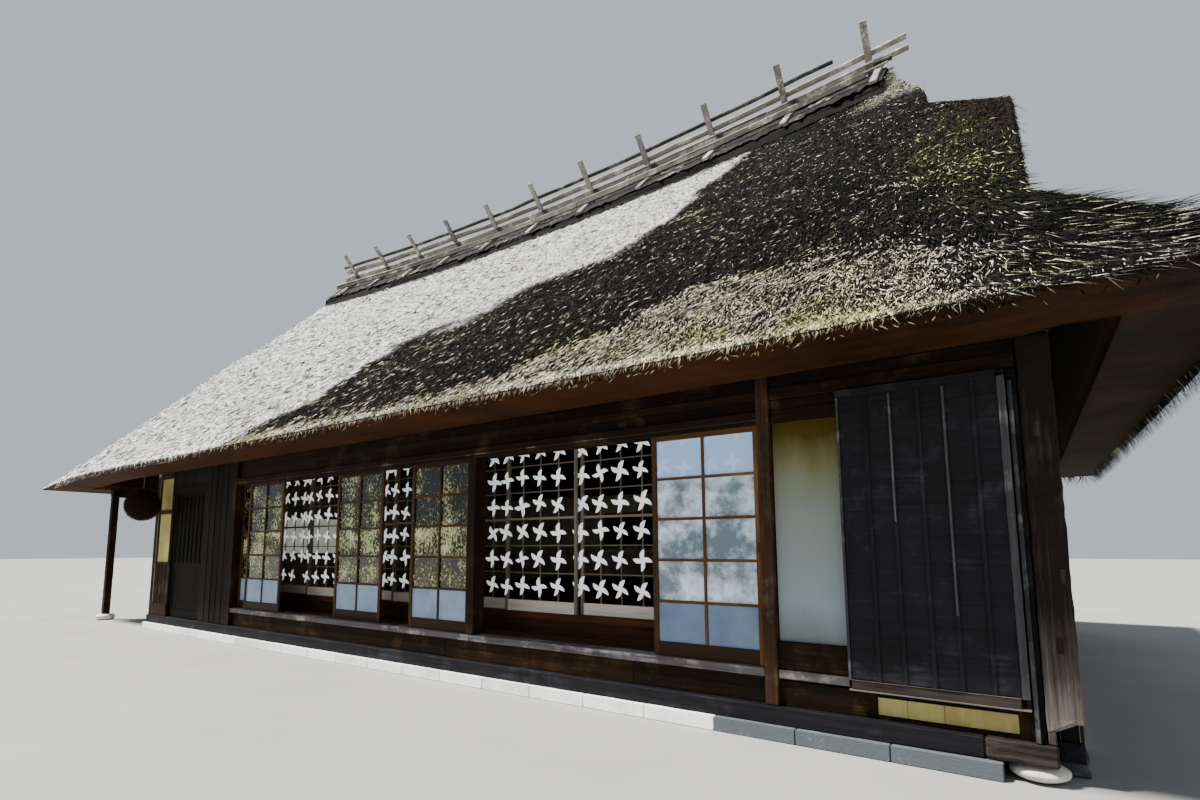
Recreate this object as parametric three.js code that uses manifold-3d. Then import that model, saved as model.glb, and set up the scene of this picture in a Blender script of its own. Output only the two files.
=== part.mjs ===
// A thatched minka farmhouse: timber frame on kerb stones, sliding doors, veranda floor and helmet-shaped roof.
// Millimetres, +Z up, the front wall along X and facing -Y, origin on the ground under the roof's centre.
import * as THREE from "three";
import { mergeVertices } from "three/addons/utils/BufferGeometryUtils.js";
import Module from "manifold-3d";

// Driving dimensions
const ROOF_LENGTH = 15680; // eave to eave along the front
const ROOF_DEPTH = 10050; // eave to eave from front to back
const EAVE_Z = 2518; // top edge of the eaves
const EAVE_DROP = 52; // how much lower the inner edge of the cut eave lies
const EAVE_CUT = 600; // width of the cut thatch under the eaves
const FRONT_SLOPE = 1.0; // rise over run of the two long roof faces
const SKIRT_SLOPE = 1.12; // rise over run of the low end faces
const VERGE_INSET = 900; // from the end eave in to the upright verge
const HIP_CORNER_Z = 5220; // lower edge of the small end faces at the ridge
const RIDGE_INSET = ROOF_LENGTH / 9; // from the left eave in to the end of the ridge
const RIDGE_SHORT = 358; // how much sooner the ridge ends on the right
const HOOD_FOOT = [690, 670]; // in from the verge and up, to the foot of the end step in the thatch
const HOOD_STEP = [50, 530]; // in and up, to the top of that step
const SAG = 290; // how far the ridge hangs in its middle
const DROOP = 150; // how far the eaves have sunk at the porch end
const SLICES = 18; // straight stretches that the roof's curve is made of
const WALL_RIGHT = 6964; // outer face of the right end wall
const WALL_LEFT = -5140; // outer face of the left end wall
const WALL_FRONT = -4125; // front face of the posts
const WALL_BACK = 4125; // back face of the back wall
const WALL_THICK = 90; // clay and plaster infill
const POST = 125; // a plain square post
const CORNER_POST = 170;
const GAP = 0.3; // between pieces that touch
const KERB_TOP = 100;
const BEAM_TOP = 220; // top of the ground beams
const TRACK_TOP = 464; // top of the door track
const DOOR_BOTTOM = 469;
const DOOR_HEIGHT = 1751;
const DOOR_WIDTH = 893;
const DOOR_THICK = 33;
const TRACK_PITCH = 60; // from one door track to the next
const DOOR_FACE = -4075; // front face of the outer doors
const INNER_FACE = -3475; // front face of the lattice panels
const INNER_WIDTH = 950;
const INNER_THICK = 28;
const INNER_BOTTOM = 650;
const INNER_HEIGHT = 1757;
const RUN = 5; // from a door to the plate below and above
const RAIL = 4.7; // height of a running rail, just under the door
const CHANNEL_IN = 12; // how far a door reaches up into its channel

const half = (n) => n / 2;
const wasm = await Module();
wasm.setup();

// A three.js geometry as a solid for joining and cutting.
function solidOf(geometry) {
  const bare = geometry.clone();
  bare.deleteAttribute("normal");
  bare.deleteAttribute("uv");
  const merged = mergeVertices(bare, 1e-3);
  return new wasm.Manifold(
    new wasm.Mesh({
      numProp: 3,
      vertProperties: new Float32Array(merged.attributes.position.array),
      triVerts: new Uint32Array(merged.index.array),
    }),
  );
}

// A solid back as a three.js geometry.
function geometryOf(solid) {
  const m = solid.getMesh();
  const g = new THREE.BufferGeometry();
  g.setAttribute("position", new THREE.BufferAttribute(new Float32Array(m.vertProperties), 3));
  g.setIndex(new THREE.BufferAttribute(new Uint32Array(m.triVerts), 1));
  g.computeVertexNormals();
  return g;
}

const union = (list) => list.map(solidOf).reduce((a, b) => a.add(b));

// A box from its lowest to its highest corner.
function block(x0, x1, y0, y1, z0, z1) {
  const g = new THREE.BoxGeometry(x1 - x0, y1 - y0, z1 - z0);
  return g.translate(half(x0 + x1), half(y0 + y1), half(z0 + z1));
}

// An outline in Y and Z, extruded along X.
function alongX(points, x0, x1, steps = 1) {
  const shape = new THREE.Shape(points.map(([y, z]) => new THREE.Vector2(y, z)));
  const g = new THREE.ExtrudeGeometry(shape, { depth: x1 - x0, steps, bevelEnabled: false });
  g.rotateX(half(Math.PI)).rotateZ(half(Math.PI));
  return g.translate(x0, 0, 0);
}

// An outline in X and Z, extruded along Y.
function alongY(points, y0, y1) {
  const shape = new THREE.Shape(points.map(([x, z]) => new THREE.Vector2(x, z)));
  const g = new THREE.ExtrudeGeometry(shape, { depth: y1 - y0, bevelEnabled: false });
  g.rotateX(half(Math.PI));
  return g.translate(0, y1, 0);
}

const COLOURS = {
  thatch: 0x8d8068,
  ridge_bark: 0x3a2f26,
  weathered_wood: 0x9a9489,
  dark_wood: 0x2b211b,
  brown_wood: 0x5a3a28,
  floor_wood: 0x6a4f38,
  plaster: 0xd8cfa8,
  glass: 0xb8c8cc,
  stone: 0xa8a59c,
  cedar: 0x3d2a1c,
};
const house = new THREE.Group();

// One named piece of the house.
function piece(name, colour, geometry) {
  const glass = colour === "glass";
  const material = new THREE.MeshStandardMaterial({
    color: COLOURS[colour],
    roughness: glass ? 0.05 : 0.85,
    metalness: 0,
    transparent: glass,
    opacity: glass ? 0.35 : 1,
  });
  const mesh = new THREE.Mesh(geometry, material);
  mesh.name = name;
  house.add(mesh);
  return mesh;
}

// Roof
const EAVE_X = half(ROOF_LENGTH);
const EAVE_Y = half(ROOF_DEPTH);
const CUT_Z = EAVE_Z - EAVE_DROP;
const CUT_X = EAVE_X - EAVE_CUT; // inner edge of the cut thatch at the ends
const CUT_Y = EAVE_Y - EAVE_CUT; // and along the front and back
const RIDGE_Z = EAVE_Z + EAVE_Y * FRONT_SLOPE;
const VERGE_X = EAVE_X - VERGE_INSET;
const SKIRT_TOP_Z = EAVE_Z + VERGE_INSET * SKIRT_SLOPE;
const RIDGE_X = EAVE_X - RIDGE_INSET;
const RIDGE_RIGHT = RIDGE_X - RIDGE_SHORT;
const STEP_FOOT = [VERGE_X - HOOD_FOOT[0], HIP_CORNER_Z + HOOD_FOOT[1]];
const STEP_TOP = [STEP_FOOT[0] - HOOD_STEP[0], STEP_FOOT[1] + HOOD_STEP[1]];
const INNER_APEX_Z = CUT_Z + CUT_Y * FRONT_SLOPE;
const HOOD_THICK = 420; // thatch of the small end faces, measured level
const SOFFIT_Z = HIP_CORNER_Z - 60; // underside of the small end faces
const SLICE = ROOF_LENGTH / SLICES;

// How far the old roof has sunk at a place: the ridge in its middle, the eaves at the porch end.
function settle(x, z) {
  const up = Math.min(Math.max((z - EAVE_Z) / (RIDGE_Z - EAVE_Z), 0), 1);
  const middle = Math.max(1 - (x / RIDGE_X) ** 2, 0);
  const out = Math.max((WALL_LEFT - x) / (WALL_LEFT + EAVE_X), 0);
  return SAG * middle * up + DROOP * out ** 2 * (1 - up);
}

function settled(geometry) {
  const p = geometry.attributes.position;
  for (let i = 0; i < p.count; i++) p.setZ(i, p.getZ(i) - settle(p.getX(i), p.getZ(i)));
  return geometry;
}

// Underside of the thatch over the front and back walls, over the right end wall and over the porch.
const SHELF_Z = SKIRT_TOP_Z - 250; // ceiling of the low end roofs
const SHELF_X = CUT_X - (SHELF_Z - CUT_Z) / SKIRT_SLOPE;
const PORCH_CUT_Z = CUT_Z - settle(-CUT_X, CUT_Z);
const undersideY = (y) => CUT_Z + (CUT_Y - Math.abs(y)) * FRONT_SLOPE;
const undersideX = (x) => CUT_Z + (CUT_X - x) * SKIRT_SLOPE;
const porchSlope = (SHELF_Z - PORCH_CUT_Z) / (CUT_X - SHELF_X);
const undersidePorch = (x) => PORCH_CUT_Z + (CUT_X + x) * porchSlope;

const roofSolid = roof();
function roof() {
  const foot = CUT_Z - 500; // the hollow is cut from well below the eaves
  const cross = [
    [-EAVE_Y, EAVE_Z],
    [-CUT_Y, CUT_Z],
    [CUT_Y, CUT_Z],
    [EAVE_Y, EAVE_Z],
    [0, RIDGE_Z],
  ];
  const skirt = [
    [-EAVE_X, EAVE_Z - DROOP],
    [-CUT_X, PORCH_CUT_Z],
    [CUT_X, CUT_Z],
    [EAVE_X, EAVE_Z],
    [VERGE_X, SKIRT_TOP_Z],
    [-VERGE_X, SKIRT_TOP_Z],
  ];
  const helmet = [
    [-VERGE_X, EAVE_Z],
    [VERGE_X, EAVE_Z],
    [VERGE_X, HIP_CORNER_Z],
    STEP_FOOT,
    STEP_TOP,
    [RIDGE_RIGHT, RIDGE_Z],
    [-RIDGE_X, RIDGE_Z],
    [-STEP_TOP[0], STEP_TOP[1]],
    [-STEP_FOOT[0], STEP_FOOT[1]],
    [-VERGE_X, HIP_CORNER_Z],
  ];
  const prism = solidOf(settled(alongX(cross, -EAVE_X, EAVE_X, SLICES)));
  const low = prism.intersect(solidOf(alongY(skirt, -EAVE_Y, EAVE_Y)));
  const high = prism.intersect(solidOf(alongY(helmet, -EAVE_Y, EAVE_Y)));
  const attic = [
    [-CUT_Y, foot],
    [CUT_Y, foot],
    [CUT_Y, CUT_Z],
    [0, INNER_APEX_Z],
    [-CUT_Y, CUT_Z],
  ];
  const under = [
    [-CUT_X, foot],
    [CUT_X, foot],
    [CUT_X, CUT_Z],
    [SHELF_X, SHELF_Z],
    [-SHELF_X, SHELF_Z],
    [-CUT_X, PORCH_CUT_Z],
  ];
  const back = VERGE_X - HOOD_THICK;
  const loft = [
    [-back, SHELF_Z - 250],
    [back, SHELF_Z - 250],
    [back, SOFFIT_Z],
    [RIDGE_RIGHT - HOOD_THICK, INNER_APEX_Z],
    [-RIDGE_RIGHT + HOOD_THICK, INNER_APEX_Z],
    [-back, SOFFIT_Z],
  ];
  const hollow = solidOf(settled(alongX(attic, -EAVE_X, EAVE_X, SLICES)));
  const rooms = hollow.intersect(solidOf(alongY(under, -EAVE_Y, EAVE_Y)));
  const space = hollow.intersect(solidOf(alongY(loft, -EAVE_Y, EAVE_Y)));
  const mouths = solidOf(block(-EAVE_X, EAVE_X, -EAVE_Y, EAVE_Y, SKIRT_TOP_Z, SOFFIT_Z));
  return low.add(high).subtract(rooms).subtract(space).subtract(hollow.intersect(mouths));
}

// Upright wall in each helmet mouth, standing on the low end roof, with a window through it.
const GABLE_BACK = 330; // from the verge in to the face of the wall
function gable(side) {
  const base = SKIRT_TOP_Z + GAP;
  const top = SOFFIT_Z - GAP;
  const face = VERGE_X - GABLE_BACK;
  const wide = (z) => CUT_Y - (z + settle(side * face, z) - CUT_Z) / FRONT_SLOPE - 25;
  const outline = [
    [-wide(base), base],
    [wide(base), base],
    [wide(top), top],
    [-wide(top), top],
  ];
  const wall = alongX(outline, face - WALL_THICK, face);
  const hole = block(face - 2 * WALL_THICK, face + WALL_THICK, -600, 600, base + 500, base + 1150);
  const cut = solidOf(wall).subtract(solidOf(hole));
  const g = geometryOf(cut);
  if (side < 0) g.translate(-2 * face + WALL_THICK, 0, 0);
  return g;
}

piece("roof_thatch", "thatch", geometryOf(roofSolid));
piece("gable_wall_right", "plaster", gable(1));
piece("gable_wall_left", "plaster", gable(-1));

// Ridge: a bark cap, and crossed timbers with the poles and planks that hold it down
const CAP_RUN = 640; // how far the cap reaches down each slope, measured level
const CAP_THICK = 150; // measured upright
const TIMBERS = 11;
const TIMBER_PITCH = 1120;
const TIMBER_MIDDLE = -20; // X of the middle timber
const TIMBER_WIDE = 100;
const TIMBER_THICK = 45;
const TIMBER_FOOT = 860; // length below the crossing
const TIMBER_TIP = 620; // length above it
const POLES = [[110, 70, 240], [210, 50, -640]]; // distance out, thickness, reach past the right end of the cap
const MIDDLE_BEAM = 50; // half its thickness
const POLE_LIFT = 35; // how far a pole lies over the middle of the timber under it
const BEAM_LIFT = 20;
const PLANK_PAST = 50;
const PLANK_THICK = 36;
const PLANKS = [[150, -30, 200], [420, 250, 150]]; // distance out, drop below the crossing, height
const SQ = Math.SQRT2;
function ridgeCap() {
  const z = (y) => RIDGE_Z - Math.abs(y) * FRONT_SLOPE;
  const outline = [
    [-CAP_RUN, z(CAP_RUN) - CAP_THICK],
    [0, z(0) - CAP_THICK],
    [CAP_RUN, z(CAP_RUN) - CAP_THICK],
    [CAP_RUN, z(CAP_RUN) + CAP_THICK],
    [0, z(0) + CAP_THICK],
    [-CAP_RUN, z(CAP_RUN) + CAP_THICK],
  ];
  const cap = solidOf(settled(alongX(outline, -RIDGE_X, RIDGE_RIGHT, SLICES - 4)));
  return cap.subtract(roofSolid.translate(0, 0, GAP));
}
const capSolid = ridgeCap();

const CROSS_Z = RIDGE_Z + CAP_THICK + 2 * GAP + half(TIMBER_THICK) * SQ;
function ridgeFrame() {
  const bars = [];
  const steps = SLICES - 4;
  const run = (y0, y1, z0, z1, past) =>
    settled(
      alongX([[y0, z0], [y1, z0], [y1, z1], [y0, z1]], -RIDGE_X + 120, RIDGE_RIGHT + past, steps),
    );
  for (let i = 0; i < TIMBERS; i++) {
    const x = TIMBER_MIDDLE + (i - half(TIMBERS - 1)) * TIMBER_PITCH;
    for (const s of [-1, 1]) {
      const g = new THREE.BoxGeometry(TIMBER_WIDE, TIMBER_FOOT + TIMBER_TIP, TIMBER_THICK);
      g.translate(s * half(TIMBER_WIDE), half(TIMBER_TIP - TIMBER_FOOT), 0);
      g.rotateX(Math.PI / 4);
      if (s < 0) g.rotateZ(Math.PI);
      const shift = s < 0 ? -TIMBER_WIDE : 0;
      bars.push(g.translate(x + shift, 0, CROSS_Z - settle(x, RIDGE_Z)));
    }
  }
  const low = CROSS_Z + BEAM_LIFT;
  bars.push(run(-MIDDLE_BEAM, MIDDLE_BEAM, low, low + 2 * MIDDLE_BEAM, PLANK_PAST));
  for (const s of [-1, 1]) {
    for (const [out, thick, past] of POLES) {
      const z = CROSS_Z + out + POLE_LIFT;
      bars.push(run(s * out - half(thick), s * out + half(thick), z, z + thick, past));
    }
    for (const [out, drop, tall] of PLANKS) {
      const z = CROSS_Z - drop;
      bars.push(run(s * out - half(PLANK_THICK), s * out + half(PLANK_THICK), z - tall, z, PLANK_PAST));
    }
  }
  return geometryOf(union(bars).subtract(capSolid.translate(0, 0, GAP)));
}
piece("ridge_cap", "ridge_bark", geometryOf(capSolid));
piece("ridge_frame", "weathered_wood", ridgeFrame());

// Ground: kerb stones under the ground beams on all four sides
const KERB_OUT = 70;
const BEAM_OUT = 30; // the front ground beam stands this far before the posts
const kerb = (name, x0, x1, y0, y1) => piece(name, "stone", block(x0, x1, y0, y1, 0, KERB_TOP));
const KERB_IN = 200;
const KX0 = WALL_LEFT - 20;
const KX1 = WALL_RIGHT + 20;
const STONE_X = 6745; // centre of the corner stone
const STONE_Y = -4010;
const STONE_R = 150;
const KY0 = WALL_FRONT - KERB_OUT;
const KY1 = WALL_BACK + 20;
kerb("kerb_front", KX0, STONE_X - STONE_R - 10, KY0, KY0 + KERB_IN + 70);
kerb("kerb_back", KX0, KX1, KY1 - KERB_IN, KY1);
kerb("kerb_left", KX0, KX0 + KERB_IN, KY0 + KERB_IN + 70 + GAP, KY1 - KERB_IN - GAP);
kerb("kerb_right", KX1 - KERB_IN, KX1, STONE_Y + STONE_R + 10, KY1 - KERB_IN - GAP);

const BEAM_BACK = 160;
const DOOR_POST_X = -2445; // right face of the post at the left end of the glass doors
const ENTRY_X0 = -4500;
const ENTRY_X1 = -3440;
const ENTRY_FACE = WALL_FRONT + 52;
const ENTRY_THICK = 38;
const beam = (name, x0, x1, y0, y1) =>
  piece(name, "dark_wood", block(x0, x1, y0, y1, KERB_TOP + GAP, BEAM_TOP));
const BEAM_END = 6840; // right end of the front beam, under the corner post
const frontBeam = block(WALL_LEFT, BEAM_END, WALL_FRONT - BEAM_OUT, WALL_FRONT + BEAM_BACK,
  KERB_TOP + GAP, BEAM_TOP);
const entryLine = ENTRY_FACE + half(ENTRY_THICK);
const entryRail = block(ENTRY_X0, DOOR_POST_X - 110, entryLine - 3, entryLine + 3, BEAM_TOP - 5, BEAM_TOP + RAIL);
piece("ground_beam_front", "dark_wood", geometryOf(union([frontBeam, entryRail])));
beam("ground_beam_back", WALL_LEFT, WALL_RIGHT, WALL_BACK - 130, WALL_BACK);
beam("ground_beam_left", WALL_LEFT, WALL_LEFT + 130, WALL_FRONT + BEAM_BACK + GAP, WALL_BACK - 130 - GAP);
beam("ground_beam_right", WALL_RIGHT - 130, WALL_RIGHT, WALL_FRONT + BEAM_BACK + GAP, WALL_BACK - 130 - GAP);

// Round stone under the end of the front beam
function cornerStone() {
  const r = STONE_R;
  const profile = [[0, 0], [r * 0.97, 0], [r, 35], [r * 0.93, 75], [r * 0.75, KERB_TOP], [0, KERB_TOP]];
  const g = new THREE.LatheGeometry(profile.map(([x, y]) => new THREE.Vector2(x, y)), 24);
  return g.rotateX(half(Math.PI)).translate(STONE_X, STONE_Y, 0);
}
piece("corner_stone", "stone", cornerStone());

// Posts of the front wall
const post = (name, x0, x1, y0, y1, z0, z1) => piece(name, "dark_wood", block(x0, x1, y0, y1, z0, z1));
const PLATE_Z = 2560; // underside of the eave plates
const JAMB_X = 5217;
const BAY_POST_X = 2246;
const BAY_POST_WIDE = 100;
const FLOOR_OF_POSTS = BEAM_TOP + GAP;
const CORNER_FOOT_Z = 280; // the worn foot of the corner post stands on a narrow tenon
piece("corner_post_right", "weathered_wood", geometryOf(union([
  block(WALL_RIGHT - CORNER_POST, WALL_RIGHT, WALL_FRONT, WALL_FRONT + CORNER_POST, CORNER_FOOT_Z, PLATE_Z - GAP),
  block(WALL_RIGHT - CORNER_POST, BEAM_END - 2, WALL_FRONT, WALL_FRONT + POST, FLOOR_OF_POSTS, CORNER_FOOT_Z + 1),
])));
post("jamb_post", JAMB_X, JAMB_X + 92, WALL_FRONT, WALL_FRONT + POST, FLOOR_OF_POSTS, PLATE_Z - GAP);
post("door_post_left", DOOR_POST_X - 100, DOOR_POST_X, WALL_FRONT, WALL_FRONT + POST, FLOOR_OF_POSTS, PLATE_Z - GAP);

// Door track and head, each with two running lines; a door reaches up into its channel
const TRACK_FRONT = WALL_FRONT + 10;
const TRACK_BACK = TRACK_FRONT + 165;
const HEAD_LOW = DOOR_BOTTOM + DOOR_HEIGHT - CHANNEL_IN;
const HEAD_TOP = HEAD_LOW + 95;
const lineOf = (face, track, thick) => face + track * TRACK_PITCH + half(thick);
function trackSill(x0, x1, y0, y1, top, depth, face, thick, breaks, extra = []) {
  const parts = [block(x0, x1, y0, y1, top - depth, top), ...extra];
  for (const track of [0, 1])
    for (const [a, b] of breaks) {
      const y = lineOf(face, track, thick);
      parts.push(block(a, b, y - 3, y + 3, top - 5, top + RAIL));
    }
  return geometryOf(union(parts));
}
function trackHead(x0, x1, y0, y1, low, high, face, thick) {
  const solid = solidOf(block(x0, x1, y0, y1, low, high));
  const channels = [0, 1].map((track) => {
    const y = lineOf(face, track, thick);
    const w = half(thick) + RUN + 1;
    return solidOf(block(x0 - 1, x1 + 1, y - w, y + w, low - 1, low + CHANNEL_IN + 10));
  });
  return geometryOf(channels.reduce((a, b) => a.subtract(b), solid));
}
const SILL_X0 = DOOR_POST_X + GAP;
const SILL_X1 = JAMB_X - GAP;
piece("door_track", "weathered_wood", trackSill(SILL_X0, SILL_X1, TRACK_FRONT, TRACK_BACK, TRACK_TOP, 60,
  DOOR_FACE, DOOR_THICK, [[SILL_X0, BAY_POST_X - GAP], [BAY_POST_X + BAY_POST_WIDE + GAP, SILL_X1]],
  [block(SILL_X0, SILL_X1, WALL_FRONT + 55, WALL_FRONT + 85, FLOOR_OF_POSTS, TRACK_TOP - 59)]));
piece("door_head", "dark_wood", trackHead(SILL_X0, SILL_X1, TRACK_FRONT, TRACK_BACK, HEAD_LOW, HEAD_TOP,
  DOOR_FACE, DOOR_THICK));
post("bay_post", BAY_POST_X, BAY_POST_X + BAY_POST_WIDE, TRACK_FRONT, TRACK_BACK - 5, TRACK_TOP + GAP, HEAD_LOW - GAP);

// Walls: plaster on a timber frame
const WALL_Y0 = WALL_FRONT + 65;
const WALL_Y1 = WALL_Y0 + WALL_THICK;
piece("wall_front_right", "plaster", block(JAMB_X + 92 + GAP, WALL_RIGHT - CORNER_POST - GAP, WALL_Y0, WALL_Y1 - 50,
  FLOOR_OF_POSTS, PLATE_Z - GAP));
piece("wall_over_doors", "dark_wood", block(SILL_X0, SILL_X1, WALL_FRONT + 45, WALL_Y1, HEAD_TOP + GAP, PLATE_Z - GAP));
piece("wall_front_left", "plaster", block(WALL_LEFT + WALL_THICK + 20 + GAP, ENTRY_X0, WALL_FRONT + 20, WALL_FRONT + 45,
  FLOOR_OF_POSTS, PLATE_Z - GAP));
piece("boarded_wall_left", "dark_wood", geometryOf(union([
  block(ENTRY_X1 + 48, DOOR_POST_X - 100 - GAP, WALL_FRONT, WALL_FRONT + 35, FLOOR_OF_POSTS, PLATE_Z - GAP),
  block(ENTRY_X0 + GAP, ENTRY_X1 + 60, WALL_FRONT, WALL_FRONT + 35, 2190, PLATE_Z - GAP),
])));

function wallWith(x0, x1, y0, y1, z0, z1, holes) {
  const wall = solidOf(block(x0, x1, y0, y1, z0, z1));
  return geometryOf(holes.reduce((a, h) => a.subtract(solidOf(block(...h))), wall));
}
const WINDOW_LOW = 1250;
const WINDOW_HIGH = 2150;
const LEFT_WINDOW = [-2000, -700, 1150, 1950]; // from and to in Y, then in Z
const BACK_WINDOWS = [[-1400, 400], [2600, 4400]];
piece("wall_back", "plaster", wallWith(WALL_LEFT + 20, WALL_RIGHT - 20, WALL_BACK - WALL_THICK - 20, WALL_BACK - 20,
  FLOOR_OF_POSTS, PLATE_Z - GAP,
  BACK_WINDOWS.map(([a, b]) => [a, b, WALL_BACK - 300, WALL_BACK + 100, WINDOW_LOW, WINDOW_HIGH])));
const SIDE_Y0 = WALL_FRONT + CORNER_POST + GAP;
const SIDE_Y1 = WALL_BACK - WALL_THICK - 20 - GAP;
piece("wall_right", "plaster", wallWith(WALL_RIGHT - WALL_THICK - 20, WALL_RIGHT - 20, SIDE_Y0, SIDE_Y1,
  FLOOR_OF_POSTS, PLATE_Z - GAP, [[WALL_RIGHT - 300, WALL_RIGHT + 100, -900, 900, WINDOW_LOW, WINDOW_HIGH]]));
piece("wall_left", "plaster", wallWith(WALL_LEFT + 20, WALL_LEFT + WALL_THICK + 20, WALL_FRONT, SIDE_Y1,
  FLOOR_OF_POSTS, PLATE_Z - GAP, [[WALL_LEFT - 300, WALL_LEFT + 300, ...LEFT_WINDOW]]));

// Eave plates on the walls, under the thatch
const PLATE_DEEP = 130;
const PLATE_BACK = 115;
const PLATE_SEAT_Z = undersideY(WALL_FRONT);
const innerSag = (SAG * (INNER_APEX_Z - EAVE_Z)) / (RIDGE_Z - EAVE_Z);
const plateTop = PLATE_SEAT_Z - (innerSag * (PLATE_SEAT_Z - CUT_Z)) / (INNER_APEX_Z - CUT_Z) - GAP;
const plate = (name, x0, x1, y0, y1, top) => piece(name, "dark_wood", block(x0, x1, y0, y1, PLATE_Z, top));
plate("eave_plate_front", WALL_LEFT, WALL_RIGHT, WALL_FRONT, WALL_FRONT + PLATE_BACK, plateTop);
plate("eave_plate_back", WALL_LEFT, WALL_RIGHT, WALL_BACK - PLATE_BACK, WALL_BACK, plateTop);
plate("eave_plate_right", WALL_RIGHT - PLATE_DEEP, WALL_RIGHT, WALL_FRONT + PLATE_BACK + GAP,
  WALL_BACK - PLATE_BACK - GAP, undersideX(WALL_RIGHT) - GAP);

// Shutter box at the right of the front, open towards the doors
const BOX_X0 = 5780;
const BOX_X1 = 6735;
const BOX_LOW = 390;
const BOX_HIGH = 2370;
const BOX_FRONT = WALL_FRONT - 30;
const BOARD = 22;
function shutterBox() {
  const shell = solidOf(block(BOX_X0, BOX_X1, BOX_FRONT, WALL_Y0 - GAP, BOX_LOW, BOX_HIGH));
  const pocket = block(BOX_X0 - 1, BOX_X1 - BOARD, BOX_FRONT + BOARD, WALL_Y0 - GAP - BOARD, BOX_LOW + BOARD, BOX_HIGH - BOARD);
  return geometryOf(shell.subtract(solidOf(pocket)));
}
piece("shutter_box", "dark_wood", shutterBox());

// Veranda floor, inner sill and head, and the raised floor of the rooms
const INNER_SILL_Y0 = INNER_FACE - 20;
const INNER_SILL_Y1 = INNER_SILL_Y0 + 135;
const INNER_X0 = -2560;
const INNER_X1 = 5040;
const FLOOR_X1 = WALL_RIGHT - WALL_THICK - 20 - GAP;
const INNER_TOP = INNER_BOTTOM - RUN;
const INNER_HEAD = INNER_BOTTOM + INNER_HEIGHT - CHANNEL_IN;
piece("veranda_floor", "floor_wood", block(SILL_X0, JAMB_X + 92, TRACK_BACK + GAP, INNER_SILL_Y0 - GAP, 404, 440));
piece("room_floor", "floor_wood", block(SILL_X0, FLOOR_X1, INNER_SILL_Y1 + GAP, SIDE_Y1, 600, 640));
const INNER_LEFT = WALL_LEFT + WALL_THICK + 20 + GAP;
piece("inner_track", "brown_wood", trackSill(SILL_X0, FLOOR_X1, INNER_SILL_Y0, INNER_SILL_Y1, INNER_TOP,
  INNER_TOP - 404, INNER_FACE, INNER_THICK, [[INNER_X0 - 5, INNER_X1 + 5]]));
piece("inner_head", "brown_wood", trackHead(INNER_LEFT, FLOOR_X1, INNER_SILL_Y0, INNER_SILL_Y1, INNER_HEAD,
  INNER_HEAD + 95, INNER_FACE, INNER_THICK));

// Porch at the left end: three posts on stones under a plate
const PORCH_X = -7150;
const PORCH_WIDE = 120;
const PORCH_TOP = undersidePorch(PORCH_X - half(PORCH_WIDE)) - GAP;
const PORCH_LOW = PORCH_TOP - 150;
const PORCH_Y = -4075;
piece("porch_plate", "dark_wood", block(PORCH_X - half(PORCH_WIDE), PORCH_X + half(PORCH_WIDE),
  PORCH_Y - 60, -PORCH_Y + 60, PORCH_LOW, PORCH_TOP));
["front", "middle", "back"].forEach((place, i) => {
  const y = PORCH_Y * (1 - i);
  const stone = new THREE.CylinderGeometry(130, 160, 100, 16);
  stone.rotateX(half(Math.PI)).translate(PORCH_X, y, 50);
  const shaft = block(PORCH_X - 55, PORCH_X + 55, y - 55, y + 55, 90, PORCH_LOW - GAP);
  piece("porch_post_" + place, "dark_wood", geometryOf(union([shaft, stone])));
});

// Ball of cedar leaves hung under the front eave
function cedarBall() {
  const r = 270;
  const y = -4475;
  const ball = new THREE.SphereGeometry(r, 24, 16);
  ball.rotateX(half(Math.PI)).translate(-4740, y, 2000);
  const top = EAVE_Z - EAVE_DROP * ((EAVE_Y + y) / EAVE_CUT) - 5 * GAP;
  const cord = new THREE.CylinderGeometry(12, 12, top - 2240, 10);
  cord.rotateX(half(Math.PI)).translate(-4740, y, half(top + 2240));
  return geometryOf(union([ball, cord]));
}
piece("cedar_ball", "cedar", cedarBall());

// Outer sliding doors: a frame with two by five lights, and its glass
const STILE = 42;
const LOW_RAIL = 105;
const TOP_RAIL = 50;
const GLAZING = 22; // width of a glazing bar
function doorFrame(wide, high) {
  const rows = 5;
  const paneHigh = (high - LOW_RAIL - TOP_RAIL - (rows - 1) * GLAZING) / rows;
  const parts = [
    block(0, STILE, 0, DOOR_THICK, 0, high),
    block(wide - STILE, wide, 0, DOOR_THICK, 0, high),
    block(STILE - 1, wide - STILE + 1, 0, DOOR_THICK, 0, LOW_RAIL),
    block(STILE - 1, wide - STILE + 1, 0, DOOR_THICK, high - TOP_RAIL, high),
    block(half(wide - GLAZING), half(wide + GLAZING), 2, 18, LOW_RAIL - 1, high - TOP_RAIL + 1),
  ];
  for (let i = 1; i < rows; i++) {
    const z = LOW_RAIL + i * paneHigh + (i - 1) * GLAZING;
    parts.push(block(STILE - 1, wide - STILE + 1, 2, 18, z, z + GLAZING));
  }
  return geometryOf(union(parts));
}
const DOORS = [
  [-2435, 1],
  [-2143, 0],
  [-119, 1],
  [1348, 0],
  [4319, 0],
];
DOORS.forEach(([x, track], i) => {
  const group = new THREE.Group();
  group.position.set(x, DOOR_FACE + track * TRACK_PITCH, DOOR_BOTTOM);
  house.add(group);
  const name = "door_" + (i + 1);
  const frame = piece(name + "_frame", "brown_wood", doorFrame(DOOR_WIDTH, DOOR_HEIGHT));
  const pane = block(STILE + GAP, DOOR_WIDTH - STILE - GAP, 18 + GAP, 21 + GAP, LOW_RAIL + GAP, DOOR_HEIGHT - TOP_RAIL - GAP);
  group.add(frame, piece(name + "_glass", "glass", pane));
});

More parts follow.
